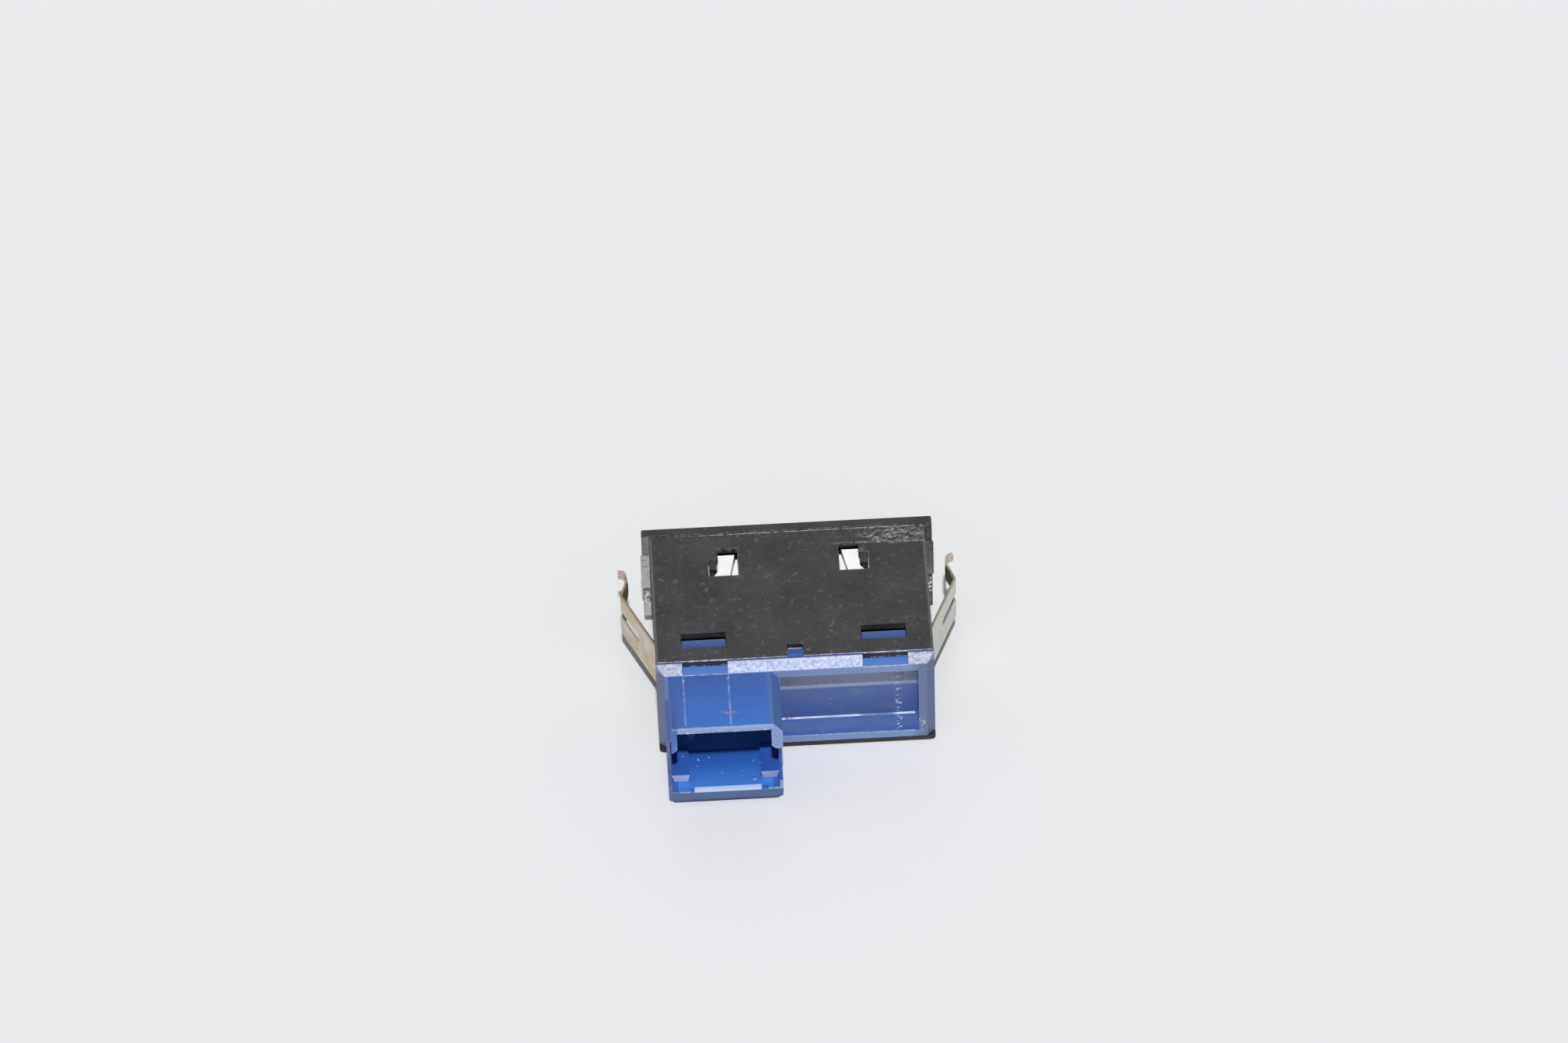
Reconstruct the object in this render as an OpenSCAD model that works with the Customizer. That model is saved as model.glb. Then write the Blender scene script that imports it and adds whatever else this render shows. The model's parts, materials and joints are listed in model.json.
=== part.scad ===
// Dashboard tailgate push switch, lying on its broad face.
// X runs across the switch, Y from the connector to the button, Z up.
// The origin is at the middle of the switch's outline, on the surface it lies on.

/* [Housing] */
// Width of the housing
body_w = 42; // [41.6:0.1:43]
// Height of the housing
body_h = 18; // [17.8:0.1:19]
// Length of the housing from its rear edge to the bezel
body_len = 26.1; // [26:0.1:28]
// Wall thickness of the housing
wall = 1.1; // [0.9:0.05:1.2]
// Radius of the housing's long outer edges
edge_r = 0.5; // [0.2:0.1:0.8]
// Width of a latch slot near the rear edge
slot_w = 6.8; // [6:0.1:7]
// Distance of a latch slot's middle from the centre line
slot_x = 13.6; // [13:0.1:14]
// Length of a latch slot along the housing
slot_len = 2.9; // [2.6:0.1:3.2]

/* [Bezel] */
// Width of the bezel
bezel_w = 44.4; // [44:0.1:46]
// Height of the bezel
bezel_h = 18.4; // [18.4:0.1:20]
// Thickness of the bezel's flange
bezel_t = 1.8; // [1.4:0.1:2.4]
// Width of the button opening in the bezel
mouth_w = 35; // [34:0.1:35]
// Height of the button opening in the bezel
mouth_h = 13.4; // [13:0.1:13.8]

/* [Rear cap] */
// Depth of the cap's rim behind the housing
cap_rim = 1.8; // [1.4:0.1:2]
// Chamfer along the cap's top edge and down its two ends
cap_chamfer = 1.25; // [0.6:0.05:1.3]
// Depth of the shallow pocket beside the connector
pocket_depth = 3.8; // [3:0.1:3.8]
// Width of the connector shroud
shroud_w = 16.8; // [16.6:0.1:17]
// How far the connector shroud stands out
shroud_len = 10.8; // [9:0.1:12]
// Wall thickness of the connector shroud
shroud_wall = 1.15; // [1:0.05:1.3]
// Number of terminals in the connector
pins = 5; // [5:1:5]
// Spacing of the terminals
pin_pitch = 2.5; // [2.2:0.1:2.6]

/* [Button] */
// How far the button stands out of the bezel
button_proud = 0.8; // [0.4:0.1:1.2]
// Gap between the button and the bezel
button_gap = 0.3; // [0.25:0.05:0.4]
// Travel of the button
press = 1.5; // [1:0.1:1.5]
// Travel of the snap plunger that the button presses
click = 0.3; // [0.2:0.05:0.4]
// Radius of the button's guide stem
stem_r = 2.2; // [2:0.05:2.3]
// Radial clearance of the stem in its guide
run_gap = 0.05; // [0.02:0.01:0.08]
// Number of turns of the return spring
spring_turns = 5; // [4:1:6]

/* [Spring clips] */
// Thickness of the clips' spring strip
clip_t = 0.4; // [0.3:0.05:0.5]
// Height of the clips' spring strip
clip_h = 8.2; // [7:0.1:8.4]
// Width of the slot that parts a clip's two prongs
clip_slot = 1.3; // [0.8:0.1:1.6]
// Radius of the rolled bead at the clip's root
bead_r = 0.6; // [0.5:0.05:0.65]

/* [Hidden] */
$fn = 48;
eps = 0.01;

// Planes across Y, counted forward from the shroud's mouth
total_len = shroud_len + cap_rim + body_len + bezel_t + button_proud;
y_mouth = -total_len / 2;
y_cap = y_mouth + shroud_len;
y_body = y_cap + cap_rim;
y_panel = y_body + body_len;
y_face = y_panel + bezel_t;
y_front = y_face + button_proud;

// Levels along Z
z_mid = bezel_h / 2;
z_top = z_mid + body_h / 2;
z_low = z_mid - body_h / 2;
inner_w = body_w - 2 * wall;
inner_h = body_h - 2 * wall;
fit = 0.1; // gap between fixed mouldings

// Rear cap: the housing's floor reaches under it as a lip
pocket_wall = 1.2;
lip_h = 1.05;
lip_r = 0.9;
y_back = y_cap + pocket_depth;
y_slot = y_body + 2.8; // rear edge of the latch slots
y_plug = y_body + 4.5; // inner end of the cap's plug rim
pin_z = z_mid;
post_x = 15.8;
post_z = 5.4;
tab_w = 2.2;
tab_x = 0.1;
pocket_x1 = 18.5;
pocket_z0 = 2.45;
pocket_z1 = 15.6;
pocket_step_z = 13.4;

// Connector shroud: a hood over a slightly wider tray
shroud_x1 = -2.5;
shroud_x0 = shroud_x1 - shroud_w;
pins_x = -10.95;
tray_x0 = shroud_x0 - 0.65;
tray_x1 = shroud_x1 - 0.15;
tray_wall = 0.5;
tray_z = 0.95;
shroud_top = z_top - cap_chamfer;
shroud_floor = 3;
rim_z = shroud_top - 5.3; // lower ends of the hood's rims
rim_back = 2.6; // how far the side walls are cut back under the rims
ledge_w = 2.75;
ledge_top = 4.4;
ledge_back = 2; // distance of the ledges' front ends from the mouth
ramp_len = 0.8;
ramp_drop = 0.4;

// Windows near the bezel: a main opening and a notch on its outer side
win_x0 = 7.7;
win_x1 = 10.8;
win_x2 = 12.2;
win_y0 = y_body + 17.4;
win_y1 = y_body + 23.1;
win_notch_y1 = y_body + 21;

// Clip root, and the pocket that the clip folds into
root_x = 19.71;
root_y = y_body + 5.8;
side_floor = 19.1;
side_inner = 18.4;
side_h = clip_h + 1;

// Board, lamps and mechanism
y_board = y_body + 8.1;
board_t = 1.6;
y_parts = y_board + board_t;
board_w = 35.8;
board_h = 14.4;
case_w = 36;
case_h = 13.6;
y_case = y_parts + fit;
y_case_end = y_body + 21.9;
block_y1 = y_case_end + 0.2;
block_rise = 0.7; // height of the latch blocks above the wall's inner face
y_bulk = y_body + 16.1;
bulk_t = 1;
y_guide = y_body + 19.7;
lamp_x = 7;
tell_x = 13;
lamp_hole_r = 2.6;
tell_hole_r = 2.1;
tact_h = 2.6;
cover_t = 0.25;
y_plunger_end = y_parts + 4.6;
y_stem_end = y_plunger_end + press - click + run_gap;
button_w = mouth_w - 2 * button_gap;
button_h = mouth_h - 2 * button_gap;
button_wall = 1;
button_skin = 1.4;
y_skirt = y_front - 4.6;
y_guide_plate = y_front - button_skin - 1.2;
y_slide_plate = y_guide_plate - 1;

// Extrudes a flat outline in X and Z from y0 to y1
module along_y(y0, y1) {
    translate([0, y1, 0]) rotate([90, 0, 0]) linear_extrude(y1 - y0) children();
}

// Rectangle with rounded corners about the origin
module round_rect(w, h, r) {
    union() {
        square([w - 2 * r, h], center = true);
        square([w, h - 2 * r], center = true);
        for (sx = [-1, 1], sy = [-1, 1])
            translate([sx * (w / 2 - r), sy * (h / 2 - r)]) circle(r);
    }
}

// Block given by its two corners
module block(a, b) {
    translate(a) cube(b - a);
}

// Copies its children mirrored across X, keeping the originals
module both_sides() {
    children();
    mirror([1, 0, 0]) children();
}

// Copies its children mirrored about the mid height, keeping the originals
module both_levels() {
    children();
    translate([0, 0, 2 * z_mid]) mirror([0, 0, 1]) children();
}

// Bar of square section set on its corner, which cuts a 45 degree chamfer of leg c
module chamfer_x(x_len, y, z, c) {
    translate([0, y, z]) rotate([45, 0, 0]) cube([x_len, c * sqrt(2), c * sqrt(2)], center = true);
}
module chamfer_z(z_len, x, y, c) {
    translate([x, y, z_mid]) rotate([0, 0, 45]) cube([c * sqrt(2), c * sqrt(2), z_len], center = true);
}

module housing() {
    color("#3c3c3f")
    difference() {
        union() {
            difference() {
                union() {
                    translate([0, 0, z_mid]) along_y(y_body, y_panel) round_rect(body_w, body_h, edge_r);
                    // lip that reaches under the cap's rear face
                    intersection() {
                        translate([0, 0, z_mid]) along_y(y_cap, y_body + 1) round_rect(body_w, body_h, lip_r);
                        block([-body_w, y_cap - 1, 0], [body_w, y_body + 2, lip_h - fit]);
                    }
                }
                block([-inner_w / 2, y_body - 1, z_low + wall], [inner_w / 2, y_panel + 1, z_top - wall]);
            }
            // inner walls behind the clip pockets
            both_sides()
                block([side_inner, y_plug + 0.2, z_mid - side_h / 2 - 1],
                      [inner_w / 2 + eps, y_panel, z_mid + side_h / 2 + 1]);
        }
        // latch slots, windows and the locating notch
        both_sides() both_levels() {
            block([slot_x - slot_w / 2, y_slot, z_top - wall - 1],
                  [slot_x + slot_w / 2, y_slot + slot_len, z_top + 1]);
            block([win_x0, win_y0, z_top - wall - 0.5], [win_x1, win_y1, z_top + 1]);
            block([win_x1 - eps, win_y0, z_top - wall - 0.5], [win_x2, win_notch_y1, z_top + 1]);
        }
        block([tab_x - tab_w / 2 - 0.1, y_body - 1, z_top - wall - 1],
              [tab_x + tab_w / 2 + 0.1, y_body + 2.5, z_top + 1]);
        // pockets that the clips fold into, each with a round seat for the clip's bead
        both_sides() {
            block([side_floor, root_y + 0.3, z_mid - side_h / 2], [body_w, y_panel + 1, z_mid + side_h / 2]);
            translate([root_x, root_y, z_mid - side_h / 2]) cylinder(r = bead_r + run_gap, h = side_h);
        }
    }
}

// Hook arm of the bezel, which catches in a window's outer notch
module bezel_hook() {
    block([win_x1 + 0.1, win_notch_y1 - 2.1, z_top - wall - 0.9],
          [win_x2 - 0.1, y_panel + eps, z_top - wall - 0.1]);
    block([win_x1 + 0.1, win_notch_y1 - 1.9, z_top - wall - 0.3],
          [win_x2 - 0.1, win_notch_y1 - 0.1, z_top - 0.35]);
}

module bezel() {
    pad_t = 0.3;
    mouth_chamfer = 0.5;
    pad_x = body_w / 2 + 0.1;
    color("#404043")
    difference() {
        union() {
            translate([0, 0, z_mid]) along_y(y_panel, y_face) round_rect(bezel_w, bezel_h, 0.45);
            // locating collar inside the housing
            translate([0, 0, z_mid]) along_y(y_panel - 1.6, y_panel + eps)
                square([2 * side_inner - 2 * fit, inner_h - 2 * fit], center = true);
            both_sides() both_levels() bezel_hook();
            // seating pads on the flange's rear face, beside the housing
            both_sides() for (band = [[1.3, 6.6, -0.1], [7.4, 14.4, 0.2]])
                block([pad_x, y_panel - pad_t, band[0]], [bezel_w / 2 + band[2], y_panel + eps, band[1]]);
        }
        block([-mouth_w / 2, y_panel - 3, z_mid - mouth_h / 2], [mouth_w / 2, y_face + 1, z_mid + mouth_h / 2]);
        // chamfer round the button opening
        hull() {
            block([-mouth_w / 2, y_face - mouth_chamfer, z_mid - mouth_h / 2],
                  [mouth_w / 2, y_face + 1, z_mid + mouth_h / 2]);
            block([-mouth_w / 2 - mouth_chamfer, y_face, z_mid - mouth_h / 2 - mouth_chamfer],
                  [mouth_w / 2 + mouth_chamfer, y_face + 1, z_mid + mouth_h / 2 + mouth_chamfer]);
        }
        // rounded front edges
        for (s = [-1, 1]) {
            chamfer_x(bezel_w + 1, y_face, z_mid + s * bezel_h / 2, 0.3);
            chamfer_z(bezel_h + 1, s * bezel_w / 2, y_face, 0.3);
        }
    }
}

// Latch of the cap: a hook on the plug rim that catches in a housing slot
module cap_latch() {
    block([slot_x - slot_w / 2 + 0.1, y_slot + 0.05, z_top - wall - 0.6],
          [slot_x + slot_w / 2 - 0.1, y_plug, z_top - 0.25]);
}

// Posts of the cap that carry the circuit board
module board_posts() {
    for (sx = [-1, 1], sz = [-1, 1])
        translate([sx * post_x, 0, z_mid + sz * post_z]) along_y(y_back, y_board) circle(1);
}

// Outline of the connector shroud from behind: the hood's top right corner is cut off
module shroud_outline() {
    corner_w = 1.3;
    corner_h = 1.55;
    foot = 0.9;
    polygon([[tray_x0, tray_z + foot], [tray_x0 + foot, tray_z],
             [tray_x1 - foot, tray_z], [tray_x1, tray_z + foot], [tray_x1, rim_z], [shroud_x1, rim_z],
             [shroud_x1, shroud_top - corner_h], [shroud_x1 - corner_w, shroud_top],
             [shroud_x0 + 0.3, shroud_top], [shroud_x0, shroud_top - 0.3],
             [shroud_x0, rim_z], [tray_x0, rim_z]]);
}

// Ledge on the shroud's floor, wider at its top, by its outer side and its direction
module ledge_outline(x, s) {
    polygon([[x, ledge_top], [x + s * ledge_w, ledge_top],
             [x + s * (ledge_w - 0.45), shroud_floor - 1], [x + s * 0.7, shroud_floor - 1]]);
}

module rear_cap() {
    inside_x0 = shroud_x0 + 0.9;
    inside_x1 = shroud_x1 - 1.7;
    floor_x0 = tray_x0 + tray_wall;
    floor_x1 = tray_x1 - tray_wall;
    color("#4a6cb4")
    difference() {
        union() {
            // rim, chamfered along its top edge and down its ends
            difference() {
                translate([0, 0, z_mid]) along_y(y_cap, y_body) round_rect(body_w, body_h, 0.35);
                for (s = [-1, 1]) chamfer_z(body_h + 1, s * body_w / 2, y_cap, cap_chamfer);
                chamfer_x(body_w + 1, y_cap, z_top, cap_chamfer);
                block([-body_w, y_cap - 1, -1], [body_w, y_body + 1, lip_h]);
            }
            // plug rim inside the housing
            translate([0, 0, z_mid]) along_y(y_body - eps, y_plug)
                square([inner_w - 2 * fit, inner_h - 2 * fit], center = true);
            both_sides() both_levels() cap_latch();
            // locating tab
            block([tab_x - tab_w / 2, y_body - eps, z_top - wall - 0.3],
                  [tab_x + tab_w / 2, y_body + 1.9, z_top - 0.2]);
            // connector shroud, clear of the housing's lip
            difference() {
                along_y(y_mouth, y_body - 0.2) shroud_outline();
                block([-body_w, y_cap - fit, -1], [body_w, y_body, lip_h]);
            }
            // low ribs on the shroud's top wall, in line with the notch's edges
            for (s = [-1, 1])
                block([-slot_x + s * slot_w / 2 - 0.15, y_mouth + 0.4, shroud_top - 0.1],
                      [-slot_x + s * slot_w / 2 + 0.15, y_cap + 0.2, shroud_top + 0.12]);
            board_posts();
        }
        // inside of the plug rim, ahead of the back wall
        difference() {
            block([-inner_w / 2 + 1.2, y_back + pocket_wall, z_low + wall + 1.2],
                  [inner_w / 2 - 1.2, y_plug + 1, z_top - wall - 1.2]);
            board_posts();
        }
        // pocket beside the connector, its back wall stepped near the top
        block([shroud_x1 + fit, y_cap - 1, pocket_z0], [pocket_x1, y_back - 0.2, pocket_z1]);
        block([shroud_x1 + fit, y_back - 0.3, pocket_step_z], [pocket_x1, y_back, pocket_z1]);
        // inside of the connector: the hood, then the wider tray round its two ledges
        block([inside_x0, y_mouth - 1, ledge_top], [inside_x1, y_back, shroud_top - shroud_wall]);
        difference() {
            block([floor_x0, y_mouth - 1, shroud_floor], [floor_x1, y_cap - 0.5, rim_z - 0.3]);
            for (s = [-1, 1])
                along_y(y_mouth + ledge_back, y_cap) ledge_outline(s < 0 ? floor_x0 : floor_x1, -s);
        }
        block([inside_x0 + ledge_w, y_cap - 1, shroud_floor], [inside_x1 - 1.5, y_back, ledge_top + 1]);
        // side walls, cut back under the hood's rims
        block([tray_x0 - 1, y_mouth - 1, ledge_top + 0.1], [tray_x1 + 1, y_mouth + rim_back, rim_z]);
        // slanted inner corners of the rims
        for (x = [inside_x0, inside_x1])
            translate([x, y_mouth, rim_z]) rotate([0, 45, 0]) cube([0.9, 2 * rim_back, 0.9], center = true);
        // ramp down to the mouth between the ledges
        translate([floor_x0 + ledge_w, 0, 0]) rotate([90, 0, 90]) linear_extrude(tray_x1 - tray_x0 - 2 * ledge_w)
            polygon([[y_mouth + ramp_len, shroud_floor + eps], [y_mouth - 1, shroud_floor + eps],
                     [y_mouth - 1, shroud_floor - ramp_drop], [y_mouth, shroud_floor - ramp_drop]]);
        // notches in the top edge, in line with the latch slots
        both_sides()
            block([slot_x - slot_w / 2, y_cap - 1, shroud_top], [slot_x + slot_w / 2, y_body, z_top + 1]);
        // slits for the terminals
        for (i = [0 : pins - 1]) terminal_slit(i);
    }
}

function pin_x(i) = pins_x + (i - (pins - 1) / 2) * pin_pitch;

module terminal_slit(i) {
    block([pin_x(i) - 0.52, y_back - 1, pin_z - 0.34],
          [pin_x(i) + 0.52, y_back + pocket_wall + 1, pin_z + 0.34]);
}

// Flat male terminal: blade in the connector, shoulder at the wall, tail in the board
module terminal(i) {
    tip = 0.5;
    y_tip = y_mouth + 7.3;
    color("#c8b27a")
    union() {
        difference() {
            block([pin_x(i) - 0.5, y_tip, pin_z - 0.32], [pin_x(i) + 0.5, y_board - 0.4, pin_z + 0.32]);
            for (s = [-1, 1]) {
                translate([pin_x(i), y_tip, pin_z + s * 0.32])
                    rotate([45, 0, 0]) cube([3, tip * 0.5, tip * 0.5], center = true);
                translate([pin_x(i) + s * 0.5, y_tip, pin_z])
                    rotate([0, 0, 45]) cube([tip, tip, 3], center = true);
            }
        }
        block([pin_x(i) - 0.8, y_back + pocket_wall + 0.05, pin_z - 0.32],
              [pin_x(i) + 0.8, y_back + pocket_wall + 0.85, pin_z + 0.32]);
        block([pin_x(i) - 0.3, y_board - 0.5, pin_z - 0.3], [pin_x(i) + 0.3, y_parts + 0.7, pin_z + 0.3]);
    }
}

// Middle line of a clip's strip as seen from above, from the bead outwards:
// a straight blade, a bend at its widest, an inward ramp and an outward curl.
// Splay is how far a clip stands open beyond the blade's own angle
function bend(c, r, a0, a1, n) =
    [for (i = [0 : n]) let (a = a0 + (a1 - a0) * i / n) c + r * [cos(a), sin(a)]];
blade = [5.77, 13.45];
left_splay = 1;
right_splay = -1;
clip_line = concat(
    [[0, 0], blade * 0.35, blade * 0.93],
    [blade + [-0.02, -0.35], blade + [0, 0.05], blade + [-0.12, 0.5]],
    [[5.12, 15.1], [4.84, 15.9], [4.74, 16.5], [4.72, 17.2]],
    bend([5.92, 17.7], 1.2, 190, 92, 5));

// Direction of the line at its point i, and the line moved sideways by d
function line_dir(p, i) = let (a = p[max(i - 1, 0)], b = p[min(i + 1, len(p) - 1)]) (b - a) / norm(b - a);
function offset_line(p, d) = [for (i = [0 : len(p) - 1]) let (t = line_dir(p, i)) p[i] + d * [-t[1], t[0]]];
function reversed(p) = [for (i = [len(p) - 1 : -1 : 0]) p[i]];

module clip_strip() {
    linear_extrude(clip_h, center = true)
        polygon(concat(offset_line(clip_line, clip_t / 2), reversed(offset_line(clip_line, -clip_t / 2))));
}

// Clip on the right side, with its bead's axis on Z at the root
module clip(splay) {
    slot_y = 8.2;
    bend_y = blade[1];
    tip = [1.5, 3.3]; // levels of the curled tip's edges
    color("#b9ab86")
    translate([root_x, root_y, z_mid]) rotate([0, 0, -splay])
    union() {
        difference() {
            clip_strip();
            // slot between the prongs, with a round root
            block([-1, slot_y, -clip_slot / 2], [9, 30, clip_slot / 2]);
            translate([-1, slot_y, 0]) rotate([0, 90, 0]) cylinder(d = clip_slot, h = 10);
            // lower prong ends just past the bend
            block([-1, bend_y + 1.3, -clip_h], [9, 30, 0]);
            // upper prong narrows to its curled tip
            block([-1, bend_y + 3.2, tip[1]], [9, 30, clip_h]);
            block([-1, bend_y + 3.2, -1], [9, 30, tip[0]]);
        }
        cylinder(r = bead_r, h = clip_h, center = true);
    }
}

module clip_left() {
    mirror([1, 0, 0]) clip(left_splay);
}

module clip_right() {
    clip(right_splay);
}

module button_cap() {
    color("#2d2d30")
    difference() {
        translate([0, 0, z_mid]) along_y(y_skirt, y_front) round_rect(button_w, button_h, 0.6);
        block([-button_w / 2 + button_wall, y_skirt - 1, z_mid - button_h / 2 + button_wall],
              [button_w / 2 - button_wall, y_front - button_skin, z_mid + button_h / 2 - button_wall]);
        for (s = [-1, 1]) {
            chamfer_x(button_w + 1, y_front, z_mid + s * button_h / 2, 0.45);
            chamfer_z(button_h + 1, s * button_w / 2, y_front, 0.45);
        }
        block([tell_x - 2, y_front - 3, z_mid - 0.6], [tell_x + 2, y_front + 1, z_mid + 0.6]);
    }
}

module light_guide() {
    color("#f2f2ee")
    difference() {
        block([-button_w / 2 + button_wall + fit, y_guide_plate, z_mid - button_h / 2 + button_wall + fit],
              [button_w / 2 - button_wall - fit, y_front - button_skin, z_mid + button_h / 2 - button_wall - fit]);
        block([tell_x - 2.1, y_guide_plate - 1, z_mid - 0.7], [tell_x + 2.1, y_front, z_mid + 0.7]);
    }
}

module indicator_lens() {
    color("#d9a441")
    block([tell_x - 1.95, y_guide_plate, z_mid - 0.55], [tell_x + 1.95, y_front - 0.1, z_mid + 0.55]);
}

module slider() {
    plate_w = button_w - 2 * button_wall - 2 * fit;
    plate_h = button_h - 2 * button_wall - 2 * fit;
    color("#d8d8d4")
    union() {
        difference() {
            block([-plate_w / 2, y_slide_plate, z_mid - plate_h / 2],
                  [plate_w / 2, y_guide_plate, z_mid + plate_h / 2]);
            // light openings
            for (x = [lamp_x, tell_x])
                translate([x, 0, z_mid]) along_y(y_slide_plate - 1, y_guide_plate + 1)
                    circle(x == lamp_x ? lamp_hole_r : tell_hole_r);
        }
        translate([0, 0, z_mid]) along_y(y_stem_end, y_slide_plate + eps) circle(stem_r);
    }
}

// Round wire carried along a helix about Y, as rings of points
module return_spring() {
    wire_r = 0.2;
    coil_r = 3;
    sides = 8;
    steps = 20 * spring_turns;
    y0 = y_guide + wire_r + 0.05;
    y1 = y_slide_plate - wire_r - 0.05;
    // the pitch eases to nothing over the first and last half turn, as on a closed end
    function rise(s) = let (e = 0.5 / spring_turns)
        s < e ? s * s / (2 * e) : s > 1 - e ? (1 - e) - (1 - s) * (1 - s) / (2 * e) : s - e / 2;
    points = [for (i = [0 : steps]) let (
            s = i / steps, a = 360 * spring_turns * s,
            c = [coil_r * cos(a), y0 + (y1 - y0) * rise(s) / rise(1), z_mid + coil_r * sin(a)],
            out = [cos(a), 0, sin(a)])
        for (k = [0 : sides - 1]) let (b = 360 * k / sides)
            c + wire_r * (cos(b) * out + sin(b) * [0, 1, 0])];
    faces = concat(
        [[for (k = [0 : sides - 1]) k]],
        [for (i = [0 : steps - 1], k = [0 : sides - 1]) let (
            a = i * sides + k, b = i * sides + (k + 1) % sides) [a, a + sides, b + sides, b]],
        [[for (k = [sides - 1 : -1 : 0]) steps * sides + k]]);
    color("#b8b8ba") polyhedron(points, faces);
}

// White latch block of the light case, split by a slanted gap: it stands up inside a window,
// and its feet run on under the housing's wall
module case_block() {
    main = [[win_x0 + 0.46, block_y1], [win_x1 - 0.1, block_y1], [win_x1 - 0.1, win_y0 + 1.4],
            [win_x1 + 0.6, win_y0 + 0.5], [win_x1 + 0.6, win_y0 - 1], [win_x0 + 1.56, win_y0 - 1]];
    side = [[win_x0 - 0.6, block_y1 - 1], [win_x0 + 0.34, block_y1 - 1],
            [win_x0 + 1.26, win_y0 - 1], [win_x0 - 0.6, win_y0 - 1]];
    foot_h = z_top - wall - fit - (z_mid + case_h / 2) + eps;
    for (outline = [main, side]) {
        linear_extrude(foot_h) polygon(outline);
        linear_extrude(foot_h + block_rise) intersection() {
            polygon(outline);
            translate([win_x0 + 0.05, win_y0 + 0.05]) square([win_x2 - win_x0 - 0.1, win_y1 - win_y0]);
        }
    }
}

module light_case() {
    color("#f4f4f1")
    difference() {
        union() {
            difference() {
                translate([0, 0, z_mid]) along_y(y_case, y_case_end) square([case_w, case_h], center = true);
                block([-case_w / 2 + 1, y_case - 1, z_mid - case_h / 2 + 1],
                      [case_w / 2 - 1, y_bulk, z_mid + case_h / 2 - 1]);
                block([-case_w / 2 + 1, y_bulk + bulk_t, z_mid - case_h / 2 + 1],
                      [case_w / 2 - 1, y_case_end + 1, z_mid + case_h / 2 - 1]);
            }
            translate([0, 0, z_mid]) along_y(y_bulk - 1.4, y_guide) circle(stem_r + 1.3);
            both_sides() both_levels() translate([0, 0, z_mid + case_h / 2 - eps]) case_block();
        }
        translate([0, 0, z_mid]) along_y(y_bulk - 3, y_guide + 1) circle(stem_r + run_gap);
        for (x = [lamp_x, tell_x])
            translate([x, 0, z_mid]) along_y(y_bulk - 1, y_bulk + bulk_t + 1)
                circle(x == lamp_x ? lamp_hole_r : tell_hole_r);
    }
}

module circuit_board() {
    color("#4d7a45")
    difference() {
        translate([0, 0, z_mid]) along_y(y_board, y_parts) square([board_w, board_h], center = true);
        for (i = [0 : pins - 1])
            translate([pin_x(i), 0, pin_z]) along_y(y_board - 1, y_parts + 1) circle(0.5);
        for (sx = [-1, 1], sz = [-1, 1]) tact_leg(sx, sz, 0.45);
    }
}

// Leg hole or leg of the snap switch, by its size
module tact_leg(sx, sz, r) {
    translate([sx * 3.2, 0, z_mid + sz * 2.2]) along_y(y_board - 0.6, y_parts + 0.4) circle(r);
}

module tact_base() {
    color("#2a2a2c")
    difference() {
        translate([0, 0, z_mid]) along_y(y_parts, y_parts + tact_h) square([6.2, 6.2], center = true);
        translate([0, 0, z_mid]) along_y(y_parts + 0.9, y_parts + tact_h + 1) circle(2.5);
        for (sx = [-1, 1], sz = [-1, 1]) tact_leg(sx, sz, 0.35);
    }
}

module tact_contacts() {
    color("#c9c5b8")
    for (sx = [-1, 1], sz = [-1, 1]) tact_leg(sx, sz, 0.3);
}

// Snap disc: a shallow spherical shell
module tact_dome() {
    disc_r = 2.3;
    crown = 0.5;
    shell_t = 0.08;
    ball_r = (disc_r * disc_r + crown * crown) / (2 * crown);
    color("#d0cfc8")
    translate([0, y_parts + 0.95 + crown - ball_r, z_mid]) rotate([-90, 0, 0])
    intersection() {
        difference() {
            sphere(r = ball_r);
            sphere(r = ball_r - shell_t);
        }
        translate([0, 0, ball_r]) cube([3 * disc_r, 3 * disc_r, 2 * crown], center = true);
    }
}

module tact_plunger() {
    color("#1f1f21")
    union() {
        translate([0, 0, z_mid]) along_y(y_parts + 1.75, y_parts + tact_h - 0.05) circle(2.2);
        translate([0, 0, z_mid]) along_y(y_parts + 1.75, y_plunger_end) circle(1.7);
    }
}

module tact_cover() {
    color("#c4c4c2")
    difference() {
        union() {
            translate([0, 0, z_mid]) along_y(y_parts + tact_h, y_parts + tact_h + cover_t)
                square([6.4, 6.4], center = true);
            for (s = [-1, 1])
                block([s * 3.25 - 0.12, y_parts + 0.9, z_mid - 1.4],
                      [s * 3.25 + 0.12, y_parts + tact_h + eps, z_mid + 1.4]);
        }
        translate([0, 0, z_mid]) along_y(y_parts, y_parts + 5) circle(1.78);
    }
}

// Surface-mounted lamp: a body with a round light well
module lamp(x) {
    difference() {
        translate([x, 0, z_mid]) along_y(y_parts, y_parts + 1.9) square([3.5, 2.8], center = true);
        translate([x, 0, z_mid]) along_y(y_parts + 1.3, y_parts + 2.5) circle(1.15);
    }
}

module backlight_led() {
    color("#f0efe6") lamp(lamp_x);
}

module indicator_led() {
    color("#efe6c8") lamp(tell_x);
}

module chip_resistors() {
    color("#2b2b2e")
    for (x = [-15, -4.6, 8, 15.4]) block([x - 0.6, y_parts, z_mid - 5], [x + 0.6, y_parts + 0.6, z_mid - 3]);
}

module diode() {
    color("#1d1d1f") block([6.4, y_parts, z_mid + 2.6], [9, y_parts + 1.1, z_mid + 4.2]);
}

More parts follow.
